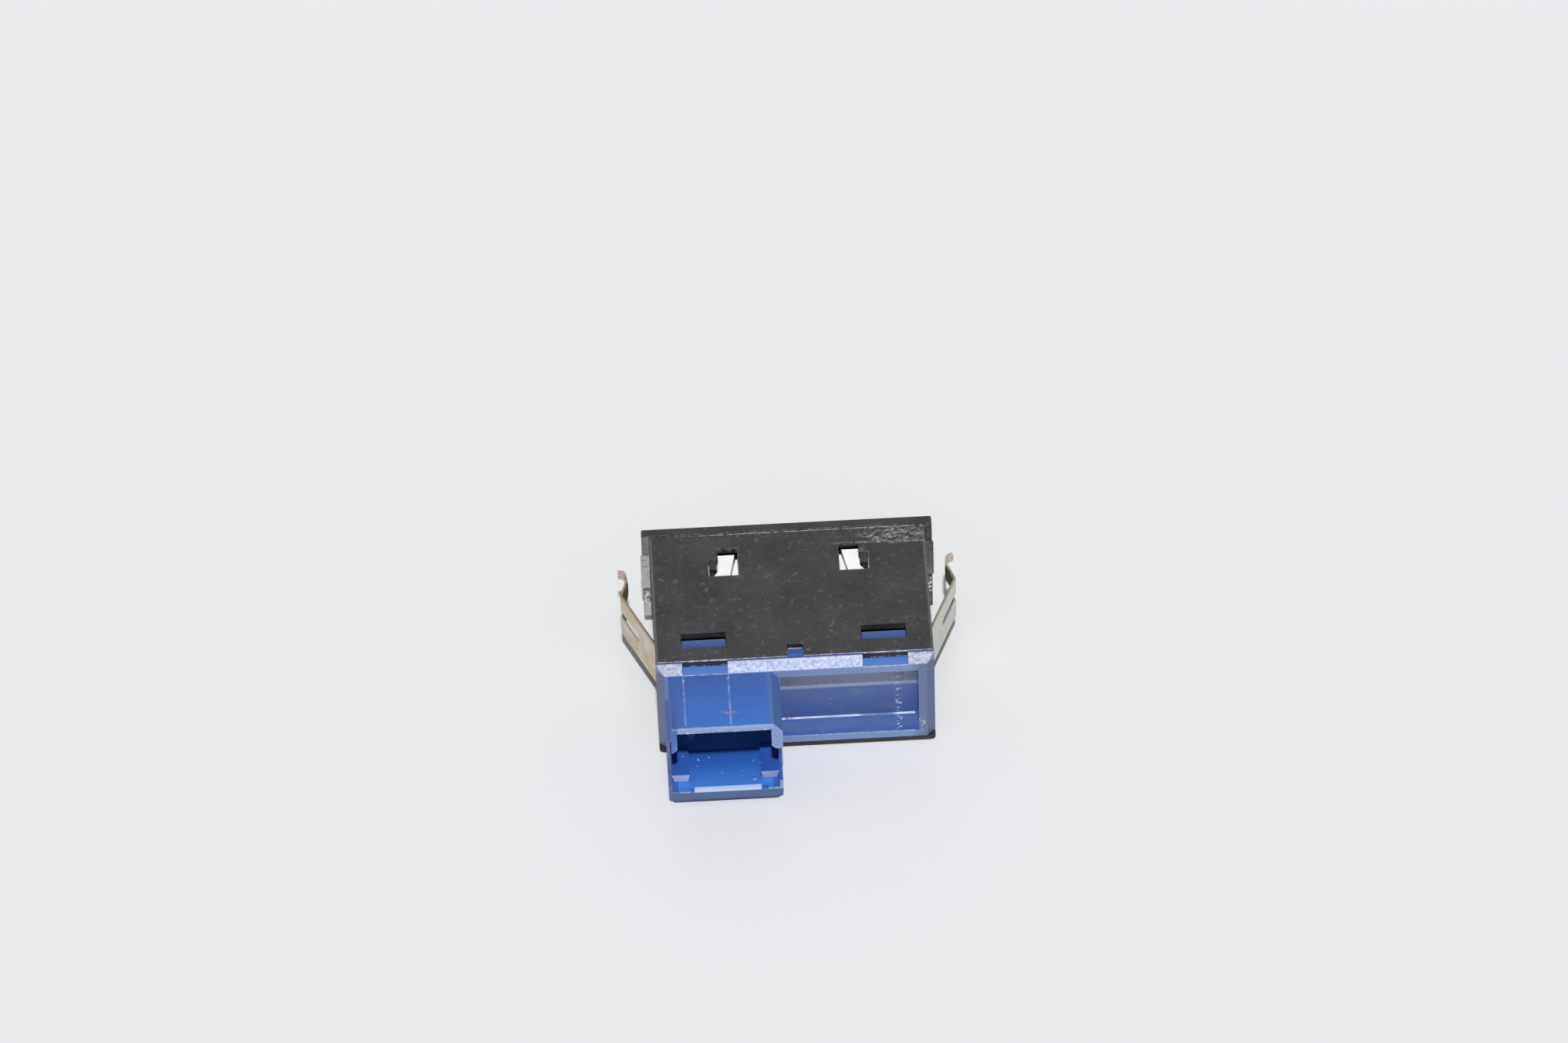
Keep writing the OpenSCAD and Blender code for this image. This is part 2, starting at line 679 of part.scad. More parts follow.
housing();
bezel();
rear_cap();
clip_left();
clip_right();
button_cap();
light_guide();
indicator_lens();
slider();
return_spring();
light_case();
circuit_board();
tact_base();
tact_contacts();
tact_dome();
tact_plunger();
tact_cover();
backlight_led();
indicator_led();
chip_resistors();
diode();
terminal(0);  // terminal_1
terminal(1);  // terminal_2
terminal(2);  // terminal_3
terminal(3);  // terminal_4
terminal(4);  // terminal_5
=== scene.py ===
import json
import math

import bmesh
import bpy
import numpy as np
from mathutils import Matrix, Vector


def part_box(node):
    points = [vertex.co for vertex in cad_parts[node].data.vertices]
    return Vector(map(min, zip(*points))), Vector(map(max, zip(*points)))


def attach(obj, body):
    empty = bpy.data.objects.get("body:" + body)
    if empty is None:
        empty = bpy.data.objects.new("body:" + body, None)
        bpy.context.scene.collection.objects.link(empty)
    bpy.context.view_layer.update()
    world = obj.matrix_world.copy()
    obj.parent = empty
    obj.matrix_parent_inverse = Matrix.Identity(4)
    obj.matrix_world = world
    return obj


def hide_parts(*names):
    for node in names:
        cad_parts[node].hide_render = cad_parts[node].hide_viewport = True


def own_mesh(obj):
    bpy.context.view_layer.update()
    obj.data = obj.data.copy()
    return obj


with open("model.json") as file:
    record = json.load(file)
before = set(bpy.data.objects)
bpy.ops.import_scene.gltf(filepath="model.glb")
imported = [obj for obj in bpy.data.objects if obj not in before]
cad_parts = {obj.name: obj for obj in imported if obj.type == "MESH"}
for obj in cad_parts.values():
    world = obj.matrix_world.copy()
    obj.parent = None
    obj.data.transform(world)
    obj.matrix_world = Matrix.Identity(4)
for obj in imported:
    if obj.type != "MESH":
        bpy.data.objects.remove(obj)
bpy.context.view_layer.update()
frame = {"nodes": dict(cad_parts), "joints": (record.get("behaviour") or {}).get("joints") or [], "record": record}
mm = 0.001
print("frame loaded:", len(frame["nodes"]), "nodes")


# planes of the switch, read from the frame, in millimetres
def span(node):
    low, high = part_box(node)
    return np.array(low) / mm, np.array(high) / mm


housingLow, housingHigh = span("housing")
jointOf = {joint["name"]: joint for joint in frame["joints"]}

yMouth = span("rear_cap")[0][1]    # rim of the connector shroud
yCap = housingLow[1]               # flat rear face of the cap, and end of the housing's lip under it
yPanel = housingHigh[1]            # back of the bezel's flange
zTop = housingHigh[2]
zMid = (housingLow[2] + housingHigh[2]) / 2
halfWidth = housingHigh[0]
halfBezel = span("bezel")[1][0]

# features of the rear cap, in millimetres
capForm = {
    "rim": 1.8, "pocket": 3.8,                          # ahead of its rear face
    "depth": 8.4, "ledgeStart": 2.0, "ramp": 0.8,       # ahead of the shroud's mouth
    "chamfer": 1.25, "hoodWall": 1.15,                  # width and thickness
    "lip": 1.05, "floor": 3.0, "pocketFloor": 2.45,     # heights above the table
    "shroudEnds": (-19.3, -2.5), "pocketEnd": 18.5,     # places in X
    "notch": (13.6, 3.4), "socket": (-11.3, 7.15),      # middle and half width in X
    "opening": (9.6, 6.7),                              # middle and half height of the socket
    "ledge": 4.4,                                       # from the socket's middle
    "ledgeHalf": 0.77, "rampHalf": 0.19,                # half heights
}
yBody = yCap + capForm["rim"]      # rear edge of the housing's walls
yBack = yCap + capForm["pocket"]   # back wall of the pocket
zHood = zTop - capForm["chamfer"]  # top of the connector shroud


# camera
cameraSet = {
    "elevation": 46.24, "turn": 1.47, "roll": -1.82,
    "distance": 1.414, "lens": 219.0, "sensor": 36.0, "clip": (0.05, 20.0),
    "target": (-0.00102, -0.00935, 0.04896),
}


def makeCamera(s):
    # looks down at the target by the elevation and sideways by the turn, and rolls about the line of sight
    up, side = math.radians(s["elevation"]), math.radians(s["turn"])
    forward = Vector((math.sin(side) * math.cos(up), math.cos(side) * math.cos(up), -math.sin(up)))
    right = Vector((math.cos(side), -math.sin(side), 0))
    top = right.cross(forward)
    roll = math.radians(s["roll"])
    xAxis = right * math.cos(roll) + top * math.sin(roll)
    yAxis = top * math.cos(roll) - right * math.sin(roll)
    data = bpy.data.cameras.new("camera")
    data.lens, data.sensor_width = s["lens"], s["sensor"]
    data.clip_start, data.clip_end = s["clip"]
    camera = bpy.data.objects.new("camera", data)
    bpy.context.scene.collection.objects.link(camera)
    facing = Matrix((xAxis, yAxis, -forward)).transposed().to_4x4()
    camera.matrix_world = Matrix.Translation(Vector(s["target"]) - forward * s["distance"]) @ facing
    bpy.context.scene.camera = camera


makeCamera(cameraSet)
print("camera placed")


# shader helpers
class Wire:
    # one output socket; Python's operators on it add Math nodes
    def __init__(self, nodes, socket):
        self.nodes, self.socket = nodes, socket

    def __add__(self, other):
        return self.nodes.maths("ADD", self, other)

    def __sub__(self, other):
        return self.nodes.maths("SUBTRACT", self, other)

    def __rsub__(self, other):
        return self.nodes.maths("SUBTRACT", other, self)

    def __mul__(self, other):
        return self.nodes.maths("MULTIPLY", self, other)

    def __abs__(self):
        return self.nodes.maths("ABSOLUTE", self)

    __radd__ = __add__
    __rmul__ = __mul__


class Nodes:
    # the emptied node tree of a material or of the world
    def __init__(self, owner):
        owner.use_nodes = True
        self.tree = owner.node_tree
        self.tree.nodes.clear()

    def node(self, kind, settings={}, sockets={}, out=0):
        # a socket takes a value or the wire that feeds it; gives the output out, or nothing for None
        made = self.tree.nodes.new(kind)
        for key, value in settings.items():
            setattr(made, key, value)
        for key, value in sockets.items():
            if isinstance(value, Wire):
                self.tree.links.new(value.socket, made.inputs[key])
            else:
                made.inputs[key].default_value = value
        return None if out is None else Wire(self, made.outputs[out])

    def maths(self, operation, first, second=0.0):
        return self.node("ShaderNodeMath", {"operation": operation}, {0: first, 1: second})

    def most(self, first, *others):
        for other in others:
            first = self.maths("MAXIMUM", first, other)
        return first


class Paint(Nodes):
    # one material; its patterns read the piece's own place in millimetres, and its colour is laid in coats
    def __init__(self, name):
        self.material = bpy.data.materials.new(name)
        super().__init__(self.material)
        place = self.node("ShaderNodeTexCoord", out="Object")
        self.place = self.node(
            "ShaderNodeVectorMath", {"operation": "SCALE"}, {"Vector": place, "Scale": 1 / mm})
        self.x, self.y, self.z = (
            self.node("ShaderNodeSeparateXYZ", {}, {"Vector": self.place}, axis) for axis in "XYZ")
        self.colour = None

    def ease(self, value, start, end):
        # 0 before start, 1 past end, smooth between; start may be the larger
        return self.node("ShaderNodeMapRange", {"interpolation_type": "SMOOTHSTEP"},
                         {"Value": value, "From Min": start, "From Max": end})

    def near(self, value, centre, reach, soft):
        # 1 within reach of centre, fading to 0 over soft
        return self.ease(abs(value - centre), reach + soft, reach)

    def blot(self, centre, radii, soft=0.5):
        # the squares of the distances in X and Y, each over its radius, add up to 1 on the edge of an
        # ellipse; the mask is 0 outside it and grows to 1 over the share soft
        dx, dy = (self.x - centre[0]) * (1 / radii[0]), (self.y - centre[1]) * (1 / radii[1])
        return self.ease(dx * dx + dy * dy, 1.0, 1.0 - soft)

    def moved(self, stretch, turn, shift):
        # the place scaled along each axis, turned about Z and shifted, so that like patterns don't match
        if stretch is None and not shift:
            return self.place
        return self.node("ShaderNodeMapping", {}, {
            "Vector": self.place, "Scale": stretch or (1, 1, 1), "Rotation": (0, 0, math.radians(turn)),
            "Location": (shift, shift * 0.7, shift * 1.3)})

    def noise(self, scale, detail=2.0, roughness=0.5, stretch=None, turn=0.0, shift=0.0):
        return self.node("ShaderNodeTexNoise", {}, {
            "Vector": self.moved(stretch, turn, shift),
            "Scale": scale, "Detail": detail, "Roughness": roughness})

    def specks(self, scale, size, share, shift=0.0):
        # round dots of the given size, in that share of the cells
        cells = {"Vector": self.moved(None, 0.0, shift), "Scale": scale}
        spot = self.ease(self.node("ShaderNodeTexVoronoi", {}, cells, "Distance"), size, size * 0.4)
        tint = self.node("ShaderNodeTexVoronoi", {}, cells, "Color")
        chance = self.node("ShaderNodeSeparateColor", {}, {"Color": tint})
        return spot * self.ease(chance, 1 - share, 1 - share * 0.7)

    def scratches(self, turn, spacing, length, share, shift=0.0):
        # the crests of a noise that is drawn out into long thin grains lying at that angle
        grain = self.noise(1.0, 1.0, 0.4, (1 / length, 1 / spacing, 1 / spacing), turn, shift)
        return self.ease(grain, 1 - share, 1 - share + 0.05)

    def mix(self, amount, first, second):
        # first where amount is 0 and second where it is 1, each a colour or a wire of colours; the node's
        # sockets 6 and 7 take colours, and its output 2 gives one
        first, second = (tone if isinstance(tone, Wire) else (*tone, 1.0) for tone in (first, second))
        return self.node("ShaderNodeMix", {"data_type": "RGBA"}, {0: amount, 6: first, 7: second}, 2)

    def lay(self, amount, tone):
        # covers the colour so far with tone, as thickly as amount says
        self.colour = self.mix(amount, self.colour, tone)

    def bump(self, height, depth, under=None):
        # depth is the height of the relief in millimetres
        sockets = {"Height": height, "Distance": depth * mm, "Strength": 1.0}
        if under is not None:
            sockets["Normal"] = under
        return self.node("ShaderNodeBump", {}, sockets)

    def finish(self, roughness, normal=None, **more):
        # more names other sockets of the shader, with _ for each space
        sockets = {"Base Color": self.colour, "Roughness": roughness}
        if normal is not None:
            sockets["Normal"] = normal
        sockets.update({key.replace("_", " "): value for key, value in more.items()})
        shader = self.node("ShaderNodeBsdfPrincipled", {}, sockets)
        self.node("ShaderNodeOutputMaterial", {}, {"Surface": shader}, None)
        return self.material


def rgb(red, green, blue):
    # a colour as seen on a screen, from 0 to 255, made linear: a dark channel is divided by 12.92, and any
    # other has 0.055 added, is divided by 1.055 and is raised to the power 2.4
    def linear(v):
        v /= 255
        return v / 12.92 if v <= 0.04045 else ((v + 0.055) / 1.055) ** 2.4
    return linear(red), linear(green), linear(blue)


# black plastic of the housing
housingLook = {
    "dark": rgb(31, 31, 33), "light": rgb(50, 50, 53), "pore": rgb(18, 18, 20), "under": rgb(20, 19, 20),
    # the pale grey serves for dust, and also for painted highlights on the window edges and long edges; the white
    # serves for rubbed chips, and also for painted highlights along the bezel seam and the walls' rear edges
    "dustAndHighlight": rgb(132, 132, 136), "chipAndHighlight": rgb(206, 208, 212), "roughness": 0.52, "grain": 0.006,
    # windows and the wings beside them: middle, in X and ahead of the walls' rear edge, and half size
    "openings": (((9.25, 20.25), (1.6, 2.9)), ((11.5, 19.2), (0.76, 1.84))),
    "patch": ((16.2, 1.6), (6.6, 2.4)),                     # middle, in X and behind the panel, and radii
    "line": 2.9, "wallEnd": 1.1,                            # behind the panel, and below the top
    "lineStart": (4.0, 12.0), "seamStart": (-18.0, -8.0),   # stretches of X over which they grow
}


def housingDust(p, s, cloud):
    # settled dust: a mist of fine specks, denser in patches, with dark pores and single motes
    mist = p.ease(p.noise(3.1, 2.0, 0.7, shift=7), 0.54, 0.74) * p.ease(cloud, 0.25, 0.8)
    p.lay(mist * 0.34, s["dustAndHighlight"])
    p.lay(p.ease(p.noise(2.2, 2.0, 0.6, shift=13), 0.44, 0.3) * 0.5, s["pore"])
    motes = p.most(p.specks(0.9, 0.10, 0.34), p.specks(1.9, 0.15, 0.2, shift=3))
    p.lay(motes * 0.6, s["dustAndHighlight"])
    return mist


def housingScratches(p, s):
    # hair scratches in three directions
    hair = p.most(p.scratches(9, 0.12, 2.2, 0.23), p.scratches(-38, 0.10, 1.8, 0.235, 5),
                  p.scratches(74, 0.12, 2.4, 0.235, 11))
    p.lay(hair * 0.4, s["dustAndHighlight"])
    # faint blotches, and a few bent strokes among them
    blotch = p.noise(0.9, 3.0, 0.7, shift=17)
    p.lay(p.ease(blotch, 0.56, 0.72) * 0.2, s["dustAndHighlight"])
    stroke = p.near(p.noise(0.55, 2.0, 0.6, shift=21), 0.5, 0.004, 0.01) * p.ease(blotch, 0.62, 0.68)
    p.lay(stroke * 0.45, s["dustAndHighlight"])
    return hair


def housingRubbed(p, s):
    # rubbed patch at the far right corner of the upper face, with a line along its rear
    upper = p.ease(p.z, zTop - 0.3, zTop - 0.1)
    (xPatch, fromPanel), radii = s["patch"]
    patch = p.blot((xPatch, yPanel - fromPanel), radii, 0.95) * upper
    smear = p.ease(p.noise(1.0, 3.0, 0.7, (1, 1.6, 1), -4), 0.42, 0.72)
    chalk = p.ease(p.noise(3.6, 3.0, 0.8, shift=15), 0.36, 0.66)
    p.lay(patch * smear * (0.25 + chalk * 0.65), s["chipAndHighlight"])
    line = p.near(p.y + p.x * 0.02, yPanel - s["line"], 0.04, 0.22) * p.ease(p.x, *s["lineStart"]) * upper
    p.lay(line * chalk * p.ease(p.noise(0.7, 3.0, 0.8, shift=9), 0.35, 0.6) * 0.6, s["chipAndHighlight"])
    # broken white line of scuffs and painted highlight where the housing meets the bezel, and burrs along the rear
    # edges of its walls, white as painted highlights
    tatter = p.noise(1.4, 3.0, 0.8)
    seam = p.near(p.y, yPanel, 0.10, 0.12) * p.ease(tatter, 0.42, 0.55) * upper
    p.lay(seam * (0.15 + p.ease(p.x, *s["seamStart"]) * 0.5), s["chipAndHighlight"])
    burrHighlight = p.ease(p.noise(0.8, 3.0, 0.75, (1, 0.2, 0.2), shift=2), 0.42, 0.56)
    rear = p.near(p.y, yBody, 0.07, 0.08) * p.near(p.z, zTop, 0.13, 0.08)
    inner = p.near(p.y, yBody, 0.05, 0.05) * p.near(p.z, zTop - s["wallEnd"], 0.08, 0.06)
    p.lay(rear * (burrHighlight * 0.6 + 0.4), s["chipAndHighlight"])
    p.lay(inner * p.ease(burrHighlight, 0.5, 1.0) * 0.6, s["chipAndHighlight"])
    # painted highlights on the edges round the windows and the wings beside them
    framedHighlight = p.most(*(
        p.near(abs(p.x), middle[0], half[0], 0.07) * p.near(p.y, yBody + middle[1], half[1], 0.07)
        for middle, half in s["openings"]))
    p.lay(framedHighlight * p.ease(p.z, zTop - 0.9, zTop - 0.4) * p.ease(tatter, 0.42, 0.58) * 0.6, s["dustAndHighlight"])
    # long edges paler, a painted highlight on their rounding
    edge = p.ease(abs(p.x), halfWidth - 0.55, halfWidth - 0.1) * p.ease(p.z, zTop - 0.7, zTop - 0.1)
    p.lay(edge * 0.42, s["dustAndHighlight"])


def housingPaint(s):
    p = Paint("housingPlastic")
    cloud = p.noise(0.12, 4.0, 0.6)
    fine = p.noise(2.6, 3.0, 0.7)
    p.colour = p.mix(p.ease(cloud, 0.3, 0.7), s["dark"], s["light"])
    mist = housingDust(p, s, cloud)
    hair = housingScratches(p, s)
    housingRubbed(p, s)
    # shaded lip under the rear cap
    under = p.ease(p.z, capForm["lip"] + 0.1, capForm["lip"] - 0.1) * p.ease(p.y, yBody, yBody - 0.2)
    p.lay(under * 0.75, s["under"])
    relief = p.bump(fine - hair * 0.6, s["grain"])
    return p.finish(s["roughness"] + fine * 0.12 + mist * 0.15, relief)


# black plastic of the bezel
bezelLook = {
    "dark": rgb(32, 32, 34), "light": rgb(48, 48, 51),
    # the pale grey serves for specks of dust, and also for the painted highlights on the back pads and along the
    # seam; the near white serves for painted glints
    "paleAndHighlight": rgb(194, 194, 196), "spark": rgb(236, 236, 238), "roughness": 0.46, "grain": 0.010,
    "padLeft": 1.95, "padRight": 0.28,             # how strongly the painted highlight shows on the pads on its back
    "padLow": (6.9, 1.4), "glintBand": (5.2, 1.4),    # middle and half height of the band where their painted highlight is strongest, and of their band of painted glints
}


def bezelPaint(s):
    p = Paint("bezelPlastic")
    fine = p.noise(3.4, 3.0, 0.7)
    p.colour = p.mix(p.ease(p.noise(0.2, 3.0), 0.3, 0.7), s["dark"], s["light"])
    p.lay(p.specks(1.3, 0.12, 0.2) * 0.4, s["paleAndHighlight"])
    # back face beside the housing: a painted highlight of its grain catching the light, most of all on the pads
    # and at their lower ends
    back = p.ease(p.y, yPanel + 0.06, yPanel - 0.02) * p.ease(abs(p.x), halfWidth + 0.02, halfWidth + 0.1)
    pad = p.ease(p.y, yPanel - 0.2, yPanel - 0.28) * back
    inside = p.ease(abs(p.x), halfBezel + 0.06, halfBezel - 0.12)
    grains = p.ease(p.noise(2.6, 2.0, 0.7, (0.8, 1, 1.1)), 0.36, 0.66)
    side = p.ease(p.x, 1.0, -1.0)
    amount = side * s["padLeft"] + (1 - side) * s["padRight"]
    lower = p.near(p.z, *s["padLow"], 1.2)
    padHighlight = (pad * 0.75 + back * 0.27 + pad * lower * 0.5) * amount * (grains * 0.4 + 0.55) * inside
    p.lay(padHighlight, s["paleAndHighlight"])
    # band of painted glints and dark flecks across the lower part of the pads, and slanting scores
    flake = p.noise(1.5, 2.0, 0.6, shift=9)
    glintBand = p.near(p.z, *s["glintBand"], 0.6) * pad
    p.lay(glintBand * p.ease(flake, 0.48, 0.56) * 0.9, s["spark"])
    p.lay(glintBand * p.ease(flake, 0.44, 0.36) * 0.8, s["dark"])
    scored = p.ease(p.noise(1.0, 2.0, 0.5, (0.6, 2, 1.6), 30, 3), 0.56, 0.66) * pad
    p.lay(scored * 0.35, s["dark"])
    # painted highlight along the seam beside the housing's upper face
    seam = p.near(p.y, yPanel, 0.12, 0.16) * p.ease(p.noise(1.2, 3.0, 0.8, shift=4), 0.45, 0.6)
    p.lay(seam * 0.15, s["paleAndHighlight"])
    relief = p.bump(fine + grains * pad * 3.0, s["grain"])
    return p.finish(s["roughness"] + fine * 0.12, relief)


# blue plastic of the rear cap
capLook = {
    "body": rgb(48, 94, 176), "deep": rgb(42, 84, 164), "white": rgb(236, 240, 250), "roughness": 0.34,
    # rear face, its chamfers and the latch hooks
    # the rear face's pale grey is a painted sheen, and the strip's dark blue is painted shade ahead of the chamfer
    "face": rgb(116, 138, 182), "faceEnd": rgb(98, 113, 144), "strip": rgb(58, 62, 122),
    "side": rgb(98, 104, 130), "sideRight": rgb(80, 96, 132), "notch": rgb(84, 124, 196),
    # pale colours of the chamfers' grain, painted as its sheen
    "sheenLight": rgb(206, 214, 236), "sheenDark": rgb(148, 162, 204),
    "endSheenLight": rgb(196, 200, 212), "endSheenDark": rgb(126, 138, 172),
    "greyFace": (17.0, 19.0), "greyGrain": (15.0, 17.5),    # stretches of X that grow greyer
    "hookNear": rgb(38, 64, 120), "hookFar": rgb(68, 90, 130),
    # connector shroud and its socket
    "rim": rgb(146, 166, 208), "edge": rgb(186, 200, 234),
    # the tray end's colour, and the painted shade it takes on towards the table
    "base": rgb(76, 96, 130), "baseShade": rgb(50, 60, 78),
    "hoodFront": rgb(50, 110, 196), "hoodBack": rgb(46, 86, 158), "slant": rgb(78, 102, 158),
    # painted light and shade on the socket's floor, and on the next line a lighter colour that stands for light
    # deep inside it
    "bedFar": rgb(40, 93, 176), "bedNear": rgb(60, 120, 204), "bedShade": rgb(30, 72, 138),
    "inside": rgb(84, 134, 204), "stain": rgb(182, 118, 172),
    "shoulder": (8.0, 9.0),                                 # heights between which the shoulder grows dull
    "smear": (-10.4, 7.9),                                  # place in X, and behind the rear face
    # pocket
    "wall": rgb(74, 94, 146), "grey": rgb(112, 120, 142), "greyLit": rgb(150, 160, 184),
    "dirt": rgb(92, 66, 70),
    "band": 9.15,                                           # height above which the back wall is grey
    "dull": (10.5, 14.5),                                   # where in X the line at its foot is faint
    "trail": 15.9, "streak": 0.9,                           # place in X, and ahead of the rear face
    "patch": (19.0, 3.6), "mark": (15.7, 11.2),             # places in X and Z
}


def capPlaces(p):
    # masks that are 1 on one part of the cap
    leg, floor, shroudEnd = capForm["chamfer"], capForm["floor"], capForm["shroudEnds"][1]
    middle, half = capForm["notch"]
    # Y less Z is the same all over the long chamfer, and smaller on what stands behind it
    behind = p.ease(p.y, yBody + 0.02, yBody - 0.06) * p.ease(p.y, yCap + 0.01, yCap + 0.05)
    notch = p.near(abs(p.x), middle, half + 0.01, 0.05)
    high = p.ease(p.y, yCap + leg + 0.28, yCap + leg + 0.14) * p.ease(p.z, zHood - 0.04, zHood + 0.08)
    leaning = p.ease(p.y - p.z, yCap - zHood - 0.12, yCap - zHood - 0.06)
    return {
        "face": p.near(p.y, yCap, 0.03, 0.03),                         # flat rear face
        "behind": behind,                                              # between that face and the housing
        "notch": notch,                                                # as wide as the two notches
        "chamfer": behind * high * leaning * (1 - notch),
        "rim": p.ease(p.y, yMouth + 0.12, yMouth + 0.03),              # shroud's mouth
        "tray": p.ease(p.z, floor - 0.3, floor - 0.45),                # below the socket's floor
        "hood": p.ease(p.z, zHood - 0.12, zHood - 0.02) * p.ease(p.y, yCap, yCap - 0.1),
        "right": p.ease(p.x, shroudEnd - 0.1, shroudEnd + 0.2),        # the pocket's side
    }


def capRear(p, s, at, worn, grit):
    # flat rear face, its pale grey a painted sheen, uneven, and greyer at the right end
    p.lay(at["face"] * (0.8 + worn * 0.35), p.mix(p.ease(p.x, *s["greyFace"]), s["face"], s["faceEnd"]))
    # chamfers round it: smooth down the ends, coarsely grained along the top with the grain's sheen and white
    # glints painted in pale colours, and a strip of painted shade ahead
    inset = halfWidth - capForm["chamfer"]
    ends = at["behind"] * p.ease(abs(p.x), inset - 0.02, inset + 0.06)
    p.lay(ends * 0.85, p.mix(p.ease(p.x, -1.0, 1.0), s["side"], s["sideRight"]))
    p.lay(at["behind"] * p.ease(p.z, zTop - 0.16, zTop - 0.06) * 0.85, s["strip"])
    p.lay(at["notch"] * p.near(p.z, zHood, 0.1, 0.1) * at["behind"], s["notch"])
    sparkle = p.ease(grit * 0.75 + p.noise(1.1, 2.0, 0.6, shift=4) * 0.25, 0.39, 0.61)
    grainSheen = p.mix(sparkle, s["sheenDark"], s["sheenLight"])
    grainSheen = p.mix(p.ease(abs(p.x), *s["greyGrain"]), grainSheen, p.mix(sparkle, s["endSheenDark"], s["endSheenLight"]))
    p.lay(at["chamfer"], p.mix(p.specks(2.2, 0.2, 0.35, shift=5) * 0.8, grainSheen, s["white"]))
    # bare corner where the long chamfer runs into the side one, and the lit rear edge of the notch floors
    corner = at["chamfer"] * p.ease(abs(p.x) - (p.y - yCap) * 0.9, halfWidth - 1.3, halfWidth - 1.1)
    p.lay(corner * 0.75, s["faceEnd"])
    lip = at["notch"] * p.near(p.z, zHood, 0.06, 0.05)
    lip = lip * p.ease(p.y, yCap + 0.16, yCap + 0.08) * p.ease(p.y, yCap - 0.05, yCap)
    p.lay(lip * p.ease(worn, 0.3, 0.6), s["edge"])
    # latch hooks inside the housing, darker towards the rear and greyer towards the front
    hook = p.ease(p.y, yBody + 0.6, yBody + 0.9) * p.ease(p.z, zHood - 0.6, zHood - 0.4)
    alongHook = p.ease(p.y + worn * 0.4, yBody + 3.2, yBody + 4.9)
    p.lay(hook * 0.85, p.mix(alongHook, s["hookNear"], s["hookFar"]))


def capShroud(p, s, at, worn):
    # rim pale and uneven, with a painted highlight along its upper edge; the tray's end bluer and darker, with
    # painted shade deepening towards the table
    leftEnd, rightEnd = capForm["shroudEnds"]
    middle, half = capForm["socket"]
    rim, hood = at["rim"], at["hood"]
    hoodRim = rim * (1 - at["tray"])
    leftLeg = p.ease(p.x, leftEnd + 1.2, leftEnd + 0.8)
    rightLeg = p.ease(p.x, rightEnd - 2.1, rightEnd - 1.7)
    p.lay(hoodRim * (0.6 + worn * 0.5 - leftLeg * 0.7 - rightLeg * 0.12), s["rim"])
    p.lay(p.ease(p.z, zHood - 0.55, zHood - 0.1) * rim * worn * 0.4, s["edge"])
    underEdge = rim * p.near(p.z, zHood - capForm["hoodWall"], 0.16, 0.16)
    underEdge = underEdge * p.near(p.x, middle, half - 0.05, 0.1)
    p.lay(underEdge * p.ease(worn, 0.52, 0.44) * 0.5, s["body"])
    p.lay(underEdge * p.ease(worn, 0.56, 0.64) * 0.9, s["white"])
    p.lay(rim * at["tray"] * 0.85, p.mix(p.ease(p.z, 1.6, 0.2), s["base"], s["baseShade"]))
    # top, darker away from the mouth and towards its left end, with a torn painted highlight along the mouth
    darker = p.most(p.ease(p.y, yMouth + 0.5, yCap - 0.5), p.ease(p.x, leftEnd + 2.5, leftEnd + 0.7))
    p.lay(hood * (1 - rim) * 0.75, p.mix(darker, s["hoodFront"], s["hoodBack"]))
    torn = p.ease(worn, 0.3, 0.62)
    lit = hood * p.ease(p.y - torn * 0.1, yMouth + 0.2, yMouth + 0.06) * p.ease(worn, 0.25, 0.5)
    p.lay(lit * 0.45, s["edge"])
    p.lay(hoodRim * p.specks(1.6, 0.2, 0.3, shift=2) * 0.8, s["white"])
    # sloping right shoulder and the tray's left wall, both dull
    sloping = p.ease(p.x, rightEnd - 2.2, rightEnd - 1.5) * p.ease(p.x, rightEnd + 0.06, rightEnd + 0.02)
    shoulder = sloping * p.ease(p.z, *s["shoulder"]) * p.ease(p.y, yCap, yCap - 0.1)
    p.lay(shoulder * (1 - rim) * 0.75, s["slant"])
    wallLeft = p.ease(p.x, leftEnd + 0.2, leftEnd - 0.2) * p.ease(p.y, yCap + 0.02, yCap - 0.06)
    p.lay(wallLeft * 0.6, s["side"])


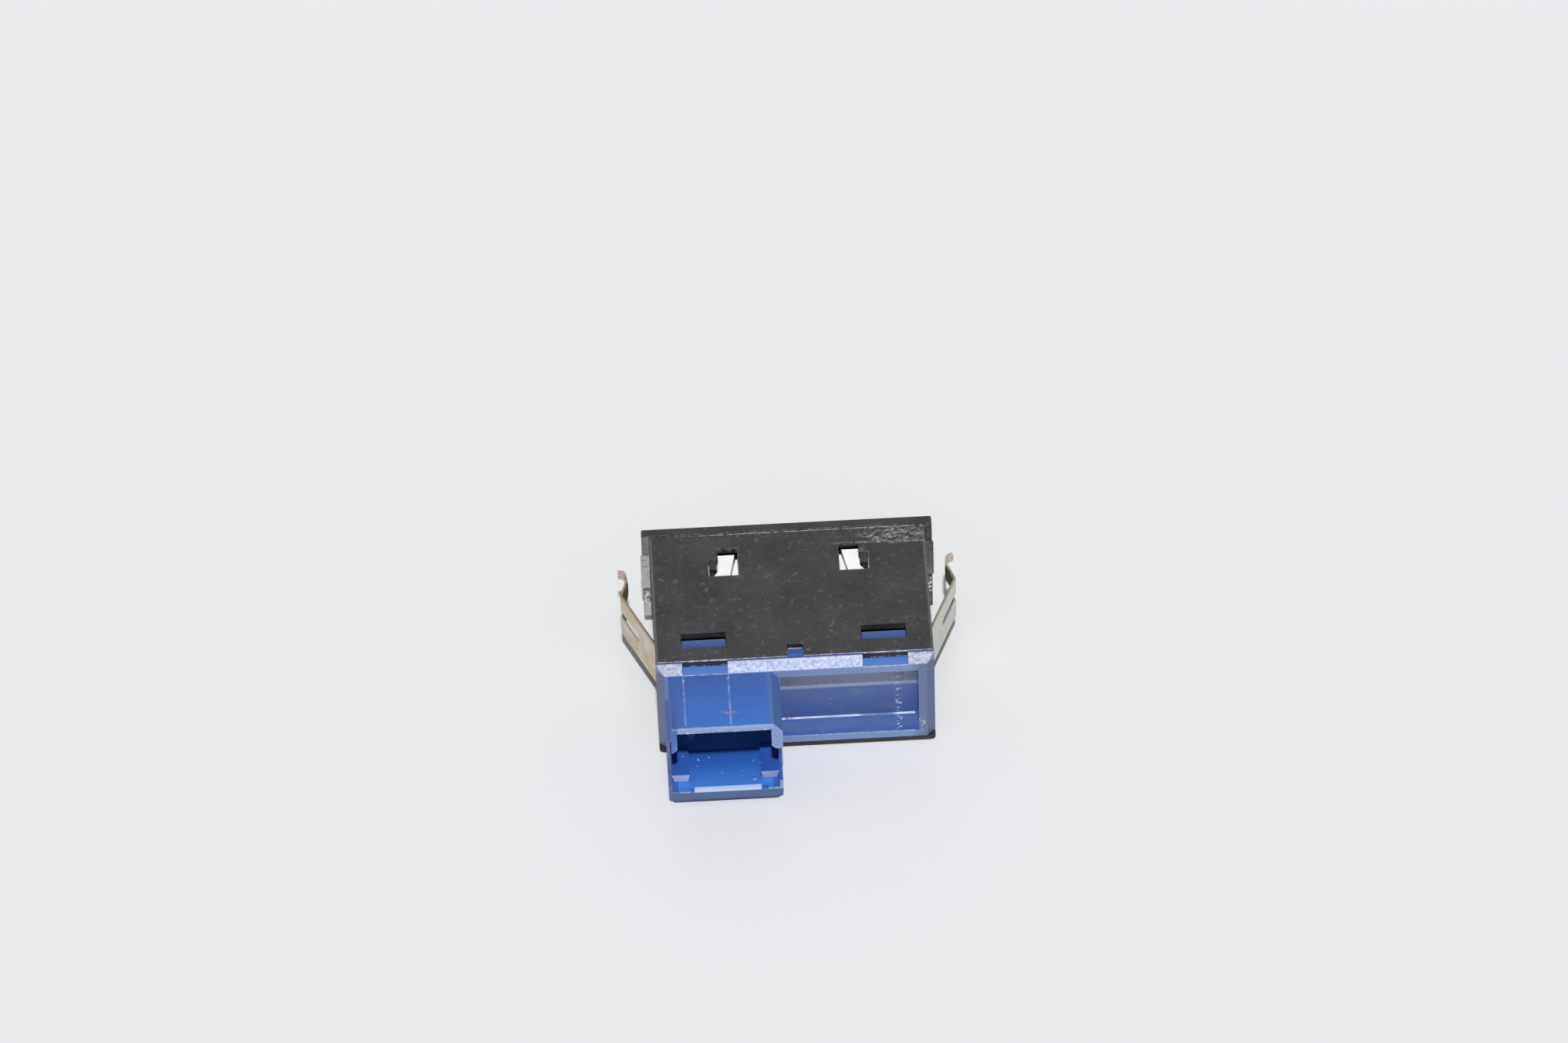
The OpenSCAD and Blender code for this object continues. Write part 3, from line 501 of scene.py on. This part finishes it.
def capSocket(p, s, worn):
    # floor of the socket, brighter towards the mouth as painted light and darker towards its back wall as painted
    # shade, and the wall itself, painted lighter to stand for light in its shade
    middle, half = capForm["socket"]
    floor, back = capForm["floor"], yMouth + capForm["depth"]
    within = p.near(p.x, middle, half, 0.06) * p.near(p.z, *capForm["opening"], 0.2)
    bed = within * p.near(p.z, floor, 0.06, 0.04) * p.ease(p.y, back + 0.2, back - 0.2)
    bedLight = p.mix(p.ease(p.y, back - 1.9, yMouth + 1.0), s["bedFar"], s["bedNear"])
    p.lay(bed, p.mix(p.ease(p.y, back - 1.9, back - 0.2), bedLight, s["bedShade"]))
    p.lay(within * p.ease(p.y, back - 0.5, back + 0.2) * 0.9, s["inside"])
    # crumbs of dust on the floor, more of them beside the ledges
    flake = p.noise(1.7, 2.0, 0.55, (1, 0.7, 1), shift=12)
    beside = p.near(abs(p.x - middle), capForm["ledge"], 0.35, 0.2)
    crumbs = p.ease(flake + beside * 0.05, 0.70, 0.735) * within * p.near(p.z, floor + 0.7, 0.8, 0.05)
    p.lay(crumbs * p.ease(p.y, back - 0.4, back - 1.4) * 0.65, s["edge"])
    # ledges' front ends and the ramp at the mouth, painted pale as highlights
    ledgeStart, ledgeHalf = yMouth + capForm["ledgeStart"], capForm["ledgeHalf"]
    ledge = p.near(p.y, ledgeStart, 0.05, 0.05) * p.near(p.z, floor + ledgeHalf, ledgeHalf - 0.11, 0.04)
    ledgeTone = p.mix(p.ease(p.x, middle + 3.3, middle - 2.7) * 0.4, s["rim"], s["edge"])
    p.lay(ledge * (0.7 + worn * 0.5), ledgeTone)
    rampEnd, rampHalf = yMouth + capForm["ramp"], capForm["rampHalf"]
    ramp = p.ease(p.y, rampEnd + 0.06, rampEnd - 0.06)
    ramp = ramp * p.near(p.z, floor - rampHalf, rampHalf - 0.02, 0.04)
    p.lay(ramp * p.near(p.x, middle + 0.3, 4.9, 0.3) * (0.75 + worn * 0.4), s["edge"])


def capPocket(p, s, at, cloud, drawn):
    # back wall: blue below, grey and drawn above, the grey painted lighter to stand for light in the overhang's
    # shadow
    floor, end = capForm["pocketFloor"], capForm["pocketEnd"]
    wall = at["right"] * p.ease(p.y, yBack - 0.32, yBack - 0.26) * p.ease(p.y, yBack + 0.3, yBack + 0.2)
    greyed = wall * p.ease(p.z - drawn * 0.5, s["band"] - 0.7, s["band"] - 0.1)
    p.lay(wall * 0.8, s["wall"])
    p.lay(greyed * (0.82 + p.ease(drawn, 0.35, 0.65) * 0.2), s["greyLit"])
    p.lay(wall * p.ease(p.noise(0.5, 3.0, 0.6, shift=8), 0.5, 0.75) * 0.3, s["grey"])
    # painted highlight where the wall meets the floor, fainter for a stretch of its length
    crease = at["right"] * p.near(p.y, yBack - 0.24, 0.12, 0.06) * p.near(p.z, floor + 0.05, 0.13, 0.06)
    dullStart, dullEnd = s["dull"]
    bright = p.most(p.ease(p.x, dullStart, dullStart - 1.5), p.ease(p.x, dullEnd, dullEnd + 1.0))
    broken = p.ease(p.noise(0.9, 3.0, 0.8), 0.2, 0.5)
    p.lay(crease * p.ease(p.x, end - 0.3, end - 0.6) * (0.35 + bright * 0.65) * broken, s["white"])
    # floor, pale in clouds and along its middle
    clear = p.ease(p.y, yBack - 0.4, yBack - 1.2) * p.ease(p.y, yCap + 0.3, yCap + 1.4)
    pale = p.most(p.ease(cloud, 0.4, 0.7), clear)
    p.lay(at["right"] * p.near(p.z, floor, 0.05, 0.05) * (0.12 + pale * 0.38), s["faceEnd"])
    return greyed


def capMarks(p, s, at, worn, bend):
    # a bent trail of white specks up the pocket's right end, and a sparkling patch on the rear face
    crumb = p.ease(p.noise(2.6, 2.0, 0.6, shift=6), 0.56, 0.62)
    trail = at["right"] * p.near(p.x + bend * 0.8, s["trail"], 0.16, 0.5) * p.ease(p.z, 15.0, 12.0)
    trail = trail * p.ease(p.y, yCap + 0.2, yCap + 0.6) * p.ease(p.y, yBack + 0.1, yBack)
    patch = at["face"] * p.near(p.x, s["patch"][0], 0.3, 0.5) * p.near(p.z, s["patch"][1], 1.2, 0.8)
    p.lay(p.most(trail * 0.75, patch * 0.5) * crumb, s["white"])
    # brown streak down the pocket's end wall, the lit sill of its floor and a brown mark on its back wall
    floor, end = capForm["pocketFloor"], capForm["pocketEnd"]
    streak = p.near(p.x, end, 0.04, 0.03) * p.near(p.y, yCap + s["streak"], 0.3, 0.2)
    streak = streak * p.ease(p.z, 15.5, 15.0)
    p.lay(streak * 0.6, s["dirt"])
    sill = at["face"] * at["right"] * p.near(p.z, floor - 0.06, 0.07, 0.06)
    p.lay(sill * p.ease(p.x, end - 0.1, end - 0.5) * p.ease(worn, 0.35, 0.6) * 0.6, s["edge"])
    mark = p.blot((s["mark"][0], yBack), (1.1, 0.4), 0.6) * p.near(p.z, s["mark"][1], 0.15, 0.15)
    p.lay(mark * 0.5, s["dirt"])


def capHood(p, s, at, bend):
    # ribs on the shroud, pale in patches and with bright spots where the notch ends
    middle, half = capForm["notch"]
    rib = at["hood"] * p.ease(p.z, zHood + 0.02, zHood + 0.08)
    patchy = p.ease(p.noise(0.9, 3.0, 0.8, shift=6), 0.35, 0.65)
    p.lay(rib * (0.12 + patchy * 0.5), s["rim"])
    spot = p.blot((-middle, yCap - 0.9), (3.9, 0.34), 0.5) * p.near(abs(p.x + middle), half, 0.14, 0.12)
    p.lay(at["hood"] * spot, s["white"])
    # hair scratches, a small pink smear on the shroud, and white motes
    hair = p.most(p.scratches(20, 0.12, 2.4, 0.235, 9), p.scratches(-52, 0.12, 2.0, 0.23, 3))
    p.lay(hair * 0.25, s["rim"])
    xSmear, ySmear = s["smear"][0], yCap - s["smear"][1]
    smear = p.blot((xSmear, ySmear), (2.0, 0.6), 1.2) * p.near(p.y + bend, ySmear + 0.4, 0.05, 0.3)
    p.lay(at["hood"] * smear * p.ease(p.noise(1.6, 2.0, 0.6, shift=3), 0.3, 0.62) * 0.8, s["stain"])
    motes = p.most(p.specks(0.62, 0.12, 0.14, shift=1), p.specks(1.5, 0.12, 0.06, shift=8))
    p.lay(motes * 0.6, s["rim"])


def capPaint(s):
    p = Paint("capPlastic")
    cloud = p.noise(0.22, 3.0, 0.5)
    fine = p.noise(4.0, 2.0, 0.6)
    worn = p.noise(1.3, 3.0, 0.7)
    grit = p.noise(2.5, 3.0, 0.8)
    drawn = p.noise(1.0, 3.0, 0.6, (2.4, 0.2, 0.06))
    bend = p.noise(0.9, 2.0) * 0.8
    at = capPlaces(p)
    p.colour = p.mix(p.ease(cloud, 0.3, 0.7), s["deep"], s["body"])
    capRear(p, s, at, worn, grit)
    capShroud(p, s, at, worn)
    capSocket(p, s, worn)
    greyed = capPocket(p, s, at, cloud, drawn)
    capMarks(p, s, at, worn, bend)
    capHood(p, s, at, bend)
    relief = p.bump(fine, 0.003)
    for height, depth in ((grit * at["chamfer"], 0.10), (drawn * greyed, 0.04), (worn * at["rim"], 0.05)):
        relief = p.bump(height, depth, relief)
    rough = s["roughness"] + fine * 0.1 + at["rim"] * 0.2 + at["face"] * 0.15 + at["chamfer"] * 0.1
    return p.finish(rough, relief)


# yellow-passivated zinc of the clips
clipLook = {
    "zinc": rgb(206, 202, 194), "pale": rgb(200, 206, 200), "straw": rgb(192, 172, 132),
    "rose": rgb(204, 176, 166), "rosy": rgb(186, 142, 122), "green": rgb(190, 200, 202),
    "gold": rgb(142, 124, 86), "brown": rgb(134, 112, 66), "stain": rgb(112, 92, 66),
    "roughness": 0.34, "half": 4.1,                                              # their half height
    "bendStart": (10.3, 11.6), "bendEnd": (16.4, 15.4), "curl": (15.6, 16.4),    # stretches of Y
}


def clipPaint(s):
    # the left clip is warmer and rosy, the right one paler and greener
    p = Paint("clipSteel")
    wash = p.noise(0.28, 3.0, 0.55)
    tint = p.noise(0.45, 2.0, 0.5, shift=5)
    drawn = p.noise(1.0, 3.0, 0.6, (0.5, 0.12, 7.0))
    side = p.ease(p.x, 1.0, -1.0)
    low = p.ease(p.z, zMid + 1.4, zMid - 2.4)
    zinc = p.mix(side, s["pale"], s["zinc"])
    p.colour = p.mix(p.ease(wash, 0.35, 0.7) * (0.18 + side * 0.72), zinc, s["straw"])
    p.lay(low * (0.1 + side * 0.6) * p.ease(wash, 0.3, 0.6), s["straw"])
    p.lay(p.ease(tint, 0.5, 0.68) * (0.1 + side * 0.7), s["rose"])
    p.lay(p.ease(tint, 0.48, 0.34) * (0.8 - side * 0.4), s["green"])
    # golden brown and stained past the bend, rosy at the curled tip, golden along the edges
    bent = p.ease(p.y, *s["bendStart"]) * p.ease(p.y, *s["bendEnd"])
    cloudy = p.ease(p.noise(0.9, 2.0, 0.6, shift=11), 0.4, 0.6)
    p.lay(bent * (0.3 + cloudy * 0.5), s["brown"])
    p.lay(p.ease(p.y, *s["curl"]) * (0.15 + cloudy * 0.6), s["rosy"])
    p.lay(p.near(abs(p.z - zMid), s["half"], 0.03, 0.08) * (0.5 + wash * 0.4), s["gold"])
    spots = p.most(p.specks(0.8, 0.16, 0.3, shift=2), p.specks(1.7, 0.16, 0.16))
    smudge = p.ease(p.noise(0.8, 3.0, 0.7, shift=7), 0.6, 0.74)
    p.lay(p.most(spots * 0.7, smudge * 0.4), s["stain"])
    relief = p.bump(wash, 0.25, p.bump(drawn, 0.02))
    rough = s["roughness"] + wash * 0.16 + spots * 0.2
    return p.finish(rough, relief, Metallic=0.92 - bent * 0.4)


def plasticPaint(name, dark, light, roughness, grain, **more):
    # a moulded plastic: cloudy colour, fine grain and a few motes
    p = Paint(name)
    fine = p.noise(3.2, 3.0, 0.7)
    p.colour = p.mix(p.ease(p.noise(0.3, 3.0), 0.3, 0.7), dark, light)
    p.lay(p.specks(1.1, 0.1, 0.12) * 0.35, rgb(170, 170, 170))
    return p.finish(roughness + fine * 0.12, p.bump(fine, grain), **more)


def metalPaint(name, dark, light, roughness, stretch):
    # a drawn or stamped metal: fine lines along the drawing, and duller clouds
    p = Paint(name)
    lines = p.noise(1.0, 3.0, 0.6, stretch)
    cloud = p.noise(0.8, 3.0)
    p.colour = p.mix(p.ease(cloud, 0.35, 0.7), light, dark)
    return p.finish(roughness + cloud * 0.15, p.bump(lines, 0.006), Metallic=1.0)


boardLook = {
    "lacquer": rgb(30, 84, 46), "track": rgb(54, 122, 66), "pad": rgb(196, 196, 190), "roughness": 0.28,
}


def boardPaint(s):
    # green lacquer over copper tracks, which are the edges of soft blots, and round tinned pads
    p = Paint("boardLaminate")
    blots = p.noise(0.7, 0.0, 0.0)
    track = p.ease(blots, 0.49, 0.5) * p.ease(blots, 0.54, 0.53)
    weave = p.noise(3.0, 2.0, 0.5)
    p.colour = p.mix(track, s["lacquer"], s["track"])
    p.lay(p.specks(0.9, 0.2, 0.2, shift=4), s["pad"])
    return p.finish(s["roughness"] + weave * 0.1, p.bump(track + weave * 0.2, 0.02))


lampLook = {
    "cream": rgb(232, 228, 210), "white": rgb(246, 244, 234), "phosphor": rgb(226, 196, 92),
    "roughness": 0.4, "wellStart": (2.8, 2.9), "wellHalf": 0.8,
}


def lampPaint(s):
    # white package, its well filled with pale yellow phosphor
    p = Paint("lampBody")
    p.colour = p.mix(p.noise(1.5, 2.0), s["cream"], s["white"])
    p.lay(p.near(p.z, zMid, s["wellHalf"], 0.1) * p.ease(p.y, *s["wellStart"]) * 0.7, s["phosphor"])
    return p.finish(s["roughness"] + p.noise(2.0) * 0.1, p.bump(p.noise(4.0), 0.004))


looks = {
    "housing_plastic": housingPaint(housingLook),
    "bezel_plastic": bezelPaint(bezelLook),
    "cap_plastic": capPaint(capLook),
    "clip_steel": clipPaint(clipLook),
    "button_plastic": plasticPaint("buttonPlastic", rgb(30, 30, 32), rgb(38, 38, 41), 0.5, 0.008),
    "white_plastic": plasticPaint("whitePlastic", rgb(240, 240, 238), rgb(250, 250, 249), 0.4, 0.004),
    "amber_lens": plasticPaint("amberLens", rgb(214, 128, 34), rgb(228, 148, 52), 0.15, 0.002,
                               Transmission_Weight=0.35, Coat_Weight=0.6),
    "slider_plastic": plasticPaint("sliderPlastic", rgb(200, 200, 196), rgb(212, 212, 208), 0.42, 0.004),
    "spring_steel": metalPaint("springSteel", rgb(150, 150, 152), rgb(196, 196, 196), 0.24, (1, 6, 1)),
    "board_laminate": boardPaint(boardLook),
    "black_plastic": plasticPaint("blackPlastic", rgb(26, 26, 28), rgb(34, 34, 36), 0.4, 0.006),
    "tinned_metal": metalPaint("tinnedMetal", rgb(168, 166, 160), rgb(206, 204, 198), 0.3, (5, 1, 1)),
    "lamp_body": lampPaint(lampLook),
    "chip_ceramic": plasticPaint("chipCeramic", rgb(28, 28, 32), rgb(44, 44, 48), 0.25, 0.003),
    "terminal_brass": metalPaint("terminalBrass", rgb(176, 150, 96), rgb(206, 188, 140), 0.28, (6, 0.3, 6)),
}
print("materials made:", len(looks))

slotOf = {part["node"]: part["material_slot"] for part in frame["record"]["subparts"]}
for nodeName, obj in frame["nodes"].items():
    obj.data.materials.clear()
    obj.data.materials.append(looks[slotOf[nodeName]])


def placePiece(name, mesh, body, slot, *nodes):
    # a smoothly shaded piece with the slot's look, which rides on the body and stands for the nodes
    obj = bpy.data.objects.new(name, mesh)
    bpy.context.scene.collection.objects.link(obj)
    mesh.materials.append(looks[slot])
    mesh.polygons.foreach_set("use_smooth", np.ones(len(mesh.polygons), bool))
    if nodes:
        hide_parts(*nodes)
    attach(obj, body)
    return obj


# mouldings with their corners rounded: points nearer than merge, in millimetres, become one, faces within
# the angle flat are joined, and corners sharper than the angle corner are rounded
roundForm = {"merge": 0.002, "flat": 0.6, "corner": 28}


def roundedCopy(nodeName, name, body, width, segments, s):
    # the node's mesh with its flat faces joined, then every corner rounded by width millimetres
    work = bmesh.new()
    work.from_mesh(frame["nodes"][nodeName].data)
    bmesh.ops.remove_doubles(work, verts=work.verts, dist=s["merge"] * mm)
    flat = math.radians(s["flat"])
    bmesh.ops.dissolve_limit(work, angle_limit=flat, verts=work.verts, edges=work.edges)
    mesh = bpy.data.meshes.new(name)
    work.to_mesh(mesh)
    work.free()
    obj = placePiece(name, mesh, body, slotOf[nodeName], nodeName)
    bevel = obj.modifiers.new("round", "BEVEL")
    bevel.width, bevel.segments = width * mm, segments
    bevel.limit_method, bevel.angle_limit = "ANGLE", math.radians(s["corner"])
    bevel.use_clamp_overlap = True
    bevel.harden_normals = False
    weight = obj.modifiers.new("shade", "WEIGHTED_NORMAL")
    weight.keep_sharp = True
    weight.mode = "FACE_AREA"


roundings = {
    "housing": ("housingShell", "base", 0.10, 2),
    "bezel": ("bezelFrame", "base", 0.12, 2),
    "rear_cap": ("rearCap", "base", 0.12, 2),
    "button_cap": ("buttonCap", "button", 0.15, 3),
    "light_case": ("lightCase", "base", 0.08, 2),
}
for nodeName, (name, body, width, segments) in roundings.items():
    roundedCopy(nodeName, name, body, width, segments, roundForm)
print("mouldings rounded:", len(roundings))


# spring clips, in millimetres and degrees
clipForm = {
    "thickness": 0.4, "height": 8.2, "lean": 1.0, "round": 0.07, "corner": 50,
    # the strip's runs meet at these places, outwards and ahead of the root, in bends of these radii
    "corners": [(0, 0), (5.75, 13.2), (4.70, 16.3), (5.0, 19.2), (6.0, 19.22)],
    "radii": [0.6, 1.3, 0.9],
    "slotStart": 8.2, "lowerEnd": 16.0, "neck": (17.0, 18.2),    # distances along the strip
    "slotWidth": 1.6, "slotRise": 0.05,                          # the slot's middle is above the strip's
    "tipBand": (1.6, 3.3), "tipRound": 0.3,                      # edges of the tip, and their rounding
    "bead": 0.6, "beadEnd": 0.12,                                # radius, and length of the eased ends
    "step": 0.12, "arc": 9, "across": 7, "around": 24,           # spacing and numbers of points
}


def filletPath(corners, radii, step, arc):
    # straight runs between the corners, with each corner replaced by an arc that touches both runs:
    # the arc starts radius times tan(half the turn) before the corner
    corners = np.array(corners, float)
    parts, last = [], corners[0]
    for corner, after, radius in zip(corners[1:-1], corners[2:], radii):
        inward = (corner - last) / np.linalg.norm(corner - last)
        outward = (after - corner) / np.linalg.norm(after - corner)
        turn = math.atan2(inward[0] * outward[1] - inward[1] * outward[0], inward @ outward)
        reach = radius * math.tan(abs(turn) / 2)
        begin = corner - inward * reach
        normal = np.array([-inward[1], inward[0]]) * np.sign(turn)
        centre = begin + normal * radius
        count = max(2, int(np.linalg.norm(begin - last) / step))
        parts.append(last + (begin - last) * np.linspace(0, 1, count, endpoint=False)[:, None])
        swing = np.linspace(0, turn, arc, endpoint=False)[:, None]
        spoke = begin - centre
        parts.append(centre + spoke * np.cos(swing) + np.array([-spoke[1], spoke[0]]) * np.sin(swing))
        last = corner + outward * reach
    count = max(2, int(np.linalg.norm(corners[-1] - last) / step))
    parts.append(last + (corners[-1] - last) * np.linspace(0, 1, count)[:, None])
    return np.concatenate(parts)


def gridMesh(name, grids, merge):
    # a quad between neighbouring rows and columns of each grid of points; points nearer than merge become
    # one, which closes poles and seams, and the faces are turned outwards
    points, faces, start = [], [], 0
    for grid in grids:
        rows, columns = grid.shape[:2]
        index = np.arange(rows * columns).reshape(rows, columns) + start
        quads = np.stack([index[:-1, :-1], index[1:, :-1], index[1:, 1:], index[:-1, 1:]], -1)
        points.append(grid.reshape(-1, 3))
        faces.append(quads.reshape(-1, 4))
        start += rows * columns
    mesh = bpy.data.meshes.new(name)
    mesh.from_pydata((np.concatenate(points) * mm).tolist(), [], np.concatenate(faces).tolist())
    work = bmesh.new()
    work.from_mesh(mesh)
    bmesh.ops.remove_doubles(work, verts=work.verts, dist=merge * mm)
    bmesh.ops.recalc_face_normals(work, faces=work.faces)
    work.to_mesh(mesh)
    work.free()
    return mesh


def clipBands(splay, s):
    # the strip is its path, turned outwards by splay degrees and swept over its height; past the slot's
    # start it is two bands, whose inner edges open as a half circle and then run parallel, and the upper
    # band narrows at the neck and is rounded off at the tip
    path = filletPath(s["corners"], s["radii"], s["step"], s["arc"])
    turn = math.radians(splay)
    path = path @ np.array([[math.cos(turn), -math.sin(turn)], [math.sin(turn), math.cos(turn)]])
    run = np.concatenate([[0], np.cumsum(np.linalg.norm(np.diff(path, axis=0), axis=1))])
    half, rise, r = s["height"] / 2, s["slotRise"], s["slotWidth"] / 2
    into = np.clip(run - s["slotStart"], 0, r)
    gap = np.sqrt(np.maximum(r * r - (r - into) ** 2, 0))
    neck = np.clip((run - s["neck"][0]) / (s["neck"][1] - s["neck"][0]), 0, 1)
    neck = neck * neck * (3 - 2 * neck)
    low = (rise + gap) * (1 - neck) + s["tipBand"][0] * neck
    high = half * (1 - neck) + s["tipBand"][1] * neck
    left = np.clip(run[-1] - run, 0, s["tipRound"])
    trim = s["tipRound"] - np.sqrt(np.maximum(s["tipRound"] ** 2 - (s["tipRound"] - left) ** 2, 0))
    across = np.linspace(0, 1, s["across"])
    bands = []
    upper, lower = (low + trim, high - trim, run[-1]), (0 * run - half, rise - gap, s["lowerEnd"])
    for start, end, length in (upper, lower):
        keep = run <= length
        z = start[keep, None] + (end - start)[keep, None] * across
        xy = np.repeat(path[keep][:, None], len(across), axis=1)
        bands.append(np.concatenate([xy, z[..., None]], -1))
    return bands


def beadSurface(s):
    # rolled bead at the root: a circle turned about the pivot, its ends eased in
    half, end = s["height"] / 2, s["beadEnd"]
    angles = np.linspace(0, 2 * math.pi, s["around"] + 1)
    levels = np.array([-half, -half, end - half, half - end, half, half])
    radii = s["bead"] * np.array([0.0, 0.8, 1.0, 1.0, 0.8, 0.0])[:, None]
    return np.stack([radii * np.cos(angles), radii * np.sin(angles), levels[:, None] + 0 * angles], -1)


def clipPiece(side, nodeName, name, body, s):
    # side is -1 for the left clip, which leans outwards, and 1 for the right one, which leans inwards
    root = np.array(jointOf[body + "_flex"]["pos_m"]) / mm * (1, 1, 0) + (0, 0, zMid)
    bands = [band * (side, 1, 1) + root for band in clipBands(-side * s["lean"], s)]
    strip = placePiece(name, gridMesh(name, bands, 0.01), body, "clip_steel", nodeName)
    solid = strip.modifiers.new("strip", "SOLIDIFY")
    solid.thickness, solid.offset, solid.use_even_offset = s["thickness"] * mm, 0, True
    soft = strip.modifiers.new("edges", "BEVEL")
    soft.width, soft.segments = s["round"] * mm, 2
    soft.limit_method, soft.angle_limit = "ANGLE", math.radians(s["corner"])
    placePiece(name + "Bead", gridMesh(name + "Bead", [beadSurface(s) + root], 0.005), body, "clip_steel")


clipPiece(-1, "clip_left", "clipLeft", "left_clip", clipForm)
clipPiece(1, "clip_right", "clipRight", "right_clip", clipForm)
print("spring clips bent")


# return spring
springForm = {"coil": 3.0, "wire": 0.2, "turns": 5, "sides": 12, "steps": 260}


def returnSpring(s):
    # a circle of wire carried round a helix about Y, whose pitch eases to nothing at both closed ends; the
    # wire's own ends are drawn together to a point
    low, high = span("return_spring")
    share = np.linspace(0, 1, s["steps"])
    ease = 0.5 / s["turns"]
    rise = np.where(share < ease, share ** 2 / (2 * ease), np.where(
        share > 1 - ease, 1 - ease - (1 - share) ** 2 / (2 * ease), share - ease / 2))
    angle = 2 * math.pi * s["turns"] * share
    radial = np.stack([np.cos(angle), 0 * angle, np.sin(angle)], -1)
    yLow, yHigh = low[1] + s["wire"], high[1] - s["wire"]
    along = yLow + (yHigh - yLow) * rise / rise[-1]
    centre = radial * s["coil"] + np.stack([0 * angle, along, zMid + 0 * angle], -1)
    turn = np.linspace(0, 2 * math.pi, s["sides"] + 1)
    ring = radial[:, None] * np.cos(turn)[:, None] + np.array([0, 1, 0]) * np.sin(turn)[:, None]
    wire = centre[:, None] + s["wire"] * ring
    ends = [np.repeat(point, wire.shape[1], 1) for point in (centre[:1, None], centre[-1:, None])]
    wire = np.concatenate([ends[0], wire, ends[1]])
    mesh = gridMesh("returnSpring", [wire], 0.005)
    obj = placePiece("returnSpring", mesh, "base", "spring_steel", "return_spring")
    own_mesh(obj)


returnSpring(springForm)
print("return spring wound")


# snap dome, which flattens under the plunger; pressed is the share of its height that it keeps
domeForm = {"radius": 2.3, "thickness": 0.08, "rings": 10, "around": 48, "pressed": 0.88}


def snapDome(s):
    # a thin ball shell: the ball's radius is (rim radius squared plus crown squared) over twice the crown
    low, high = span("tact_dome")
    base, crown = low[1], high[1] - low[1]
    ball = (s["radius"] ** 2 + crown ** 2) / (2 * crown)
    centre = high[1] - ball
    inner = ball - s["thickness"]
    outerTurn = np.linspace(0, math.asin(s["radius"] / ball), s["rings"])
    innerTurn = np.linspace(math.acos((base - centre) / inner), 0, s["rings"])
    radius = np.concatenate([ball * np.sin(outerTurn), inner * np.sin(innerTurn)])[:, None]
    height = np.concatenate([ball * np.cos(outerTurn), inner * np.cos(innerTurn)])[:, None] + centre
    angle = np.linspace(0, 2 * math.pi, s["around"] + 1)
    shell = np.stack([radius * np.cos(angle), height + 0 * angle, zMid + radius * np.sin(angle)], -1)
    mesh = gridMesh("snapDome", [shell], 0.002)
    obj = placePiece("snapDome", mesh, "base", slotOf["tact_dome"], "tact_dome")
    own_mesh(obj)


snapDome(domeForm)
print("snap dome made")


# floor, light and world; the floor's half side and its drop below the switch are in metres
stageSet = {
    "floor": rgb(230, 231, 233), "haze": 0.985, "roughness": 0.3, "half": 3.0, "drop": 0.00003,
    "sunElevation": 59.0, "sunTurn": 0.0, "sunStrength": 2.9, "sunSize": 2.2,
    "world": 0.24, "backdrop": 0.84,
}


def makeFloor(s):
    p = Paint("tableTop")
    p.colour = p.mix(p.noise(0.01, 2.0), s["floor"], tuple(s["haze"] * channel for channel in s["floor"]))
    corners = np.array([(-1, -1), (1, -1), (1, 1), (-1, 1)]) * s["half"]
    mesh = bpy.data.meshes.new("tableTop")
    mesh.from_pydata([(x, y, -s["drop"]) for x, y in corners.tolist()], [], [(0, 1, 2, 3)])
    mesh.materials.append(p.finish(s["roughness"]))
    obj = bpy.data.objects.new("tableTop", mesh)
    bpy.context.scene.collection.objects.link(obj)


def makeLight(s):
    # one soft sun behind the viewer
    data = bpy.data.lights.new("flash", "SUN")
    data.energy, data.angle = s["sunStrength"], math.radians(s["sunSize"])
    lamp = bpy.data.objects.new("flash", data)
    bpy.context.scene.collection.objects.link(lamp)
    up, side = math.radians(s["sunElevation"]), math.radians(s["sunTurn"])
    toward = Vector((math.sin(side) * math.cos(up), -math.cos(side) * math.cos(up), math.sin(up)))
    lamp.rotation_mode = "QUATERNION"
    lamp.rotation_quaternion = toward.to_track_quat("Z", "Y")


def makeWorld(s):
    # dim light all round, which the camera and mirror and glass rays see as a pale backdrop
    world = bpy.data.worlds.new("studio")
    bpy.context.scene.world = world
    nodes = Nodes(world)
    rays = ("Is Camera Ray", "Is Glossy Ray", "Is Transmission Ray")
    seen = nodes.most(*(nodes.node("ShaderNodeLightPath", out=ray) for ray in rays))
    lit, shown = (
        nodes.node("ShaderNodeBackground", {}, {"Color": (1, 1, 1, 1), "Strength": strength})
        for strength in (s["world"], s["backdrop"]))
    both = nodes.node("ShaderNodeMixShader", {}, {0: seen, 1: lit, 2: shown})
    nodes.node("ShaderNodeOutputWorld", {}, {"Surface": both}, None)


makeFloor(stageSet)
makeLight(stageSet)
makeWorld(stageSet)
bpy.context.scene.view_settings.view_transform = "Standard"
print("floor and light set")
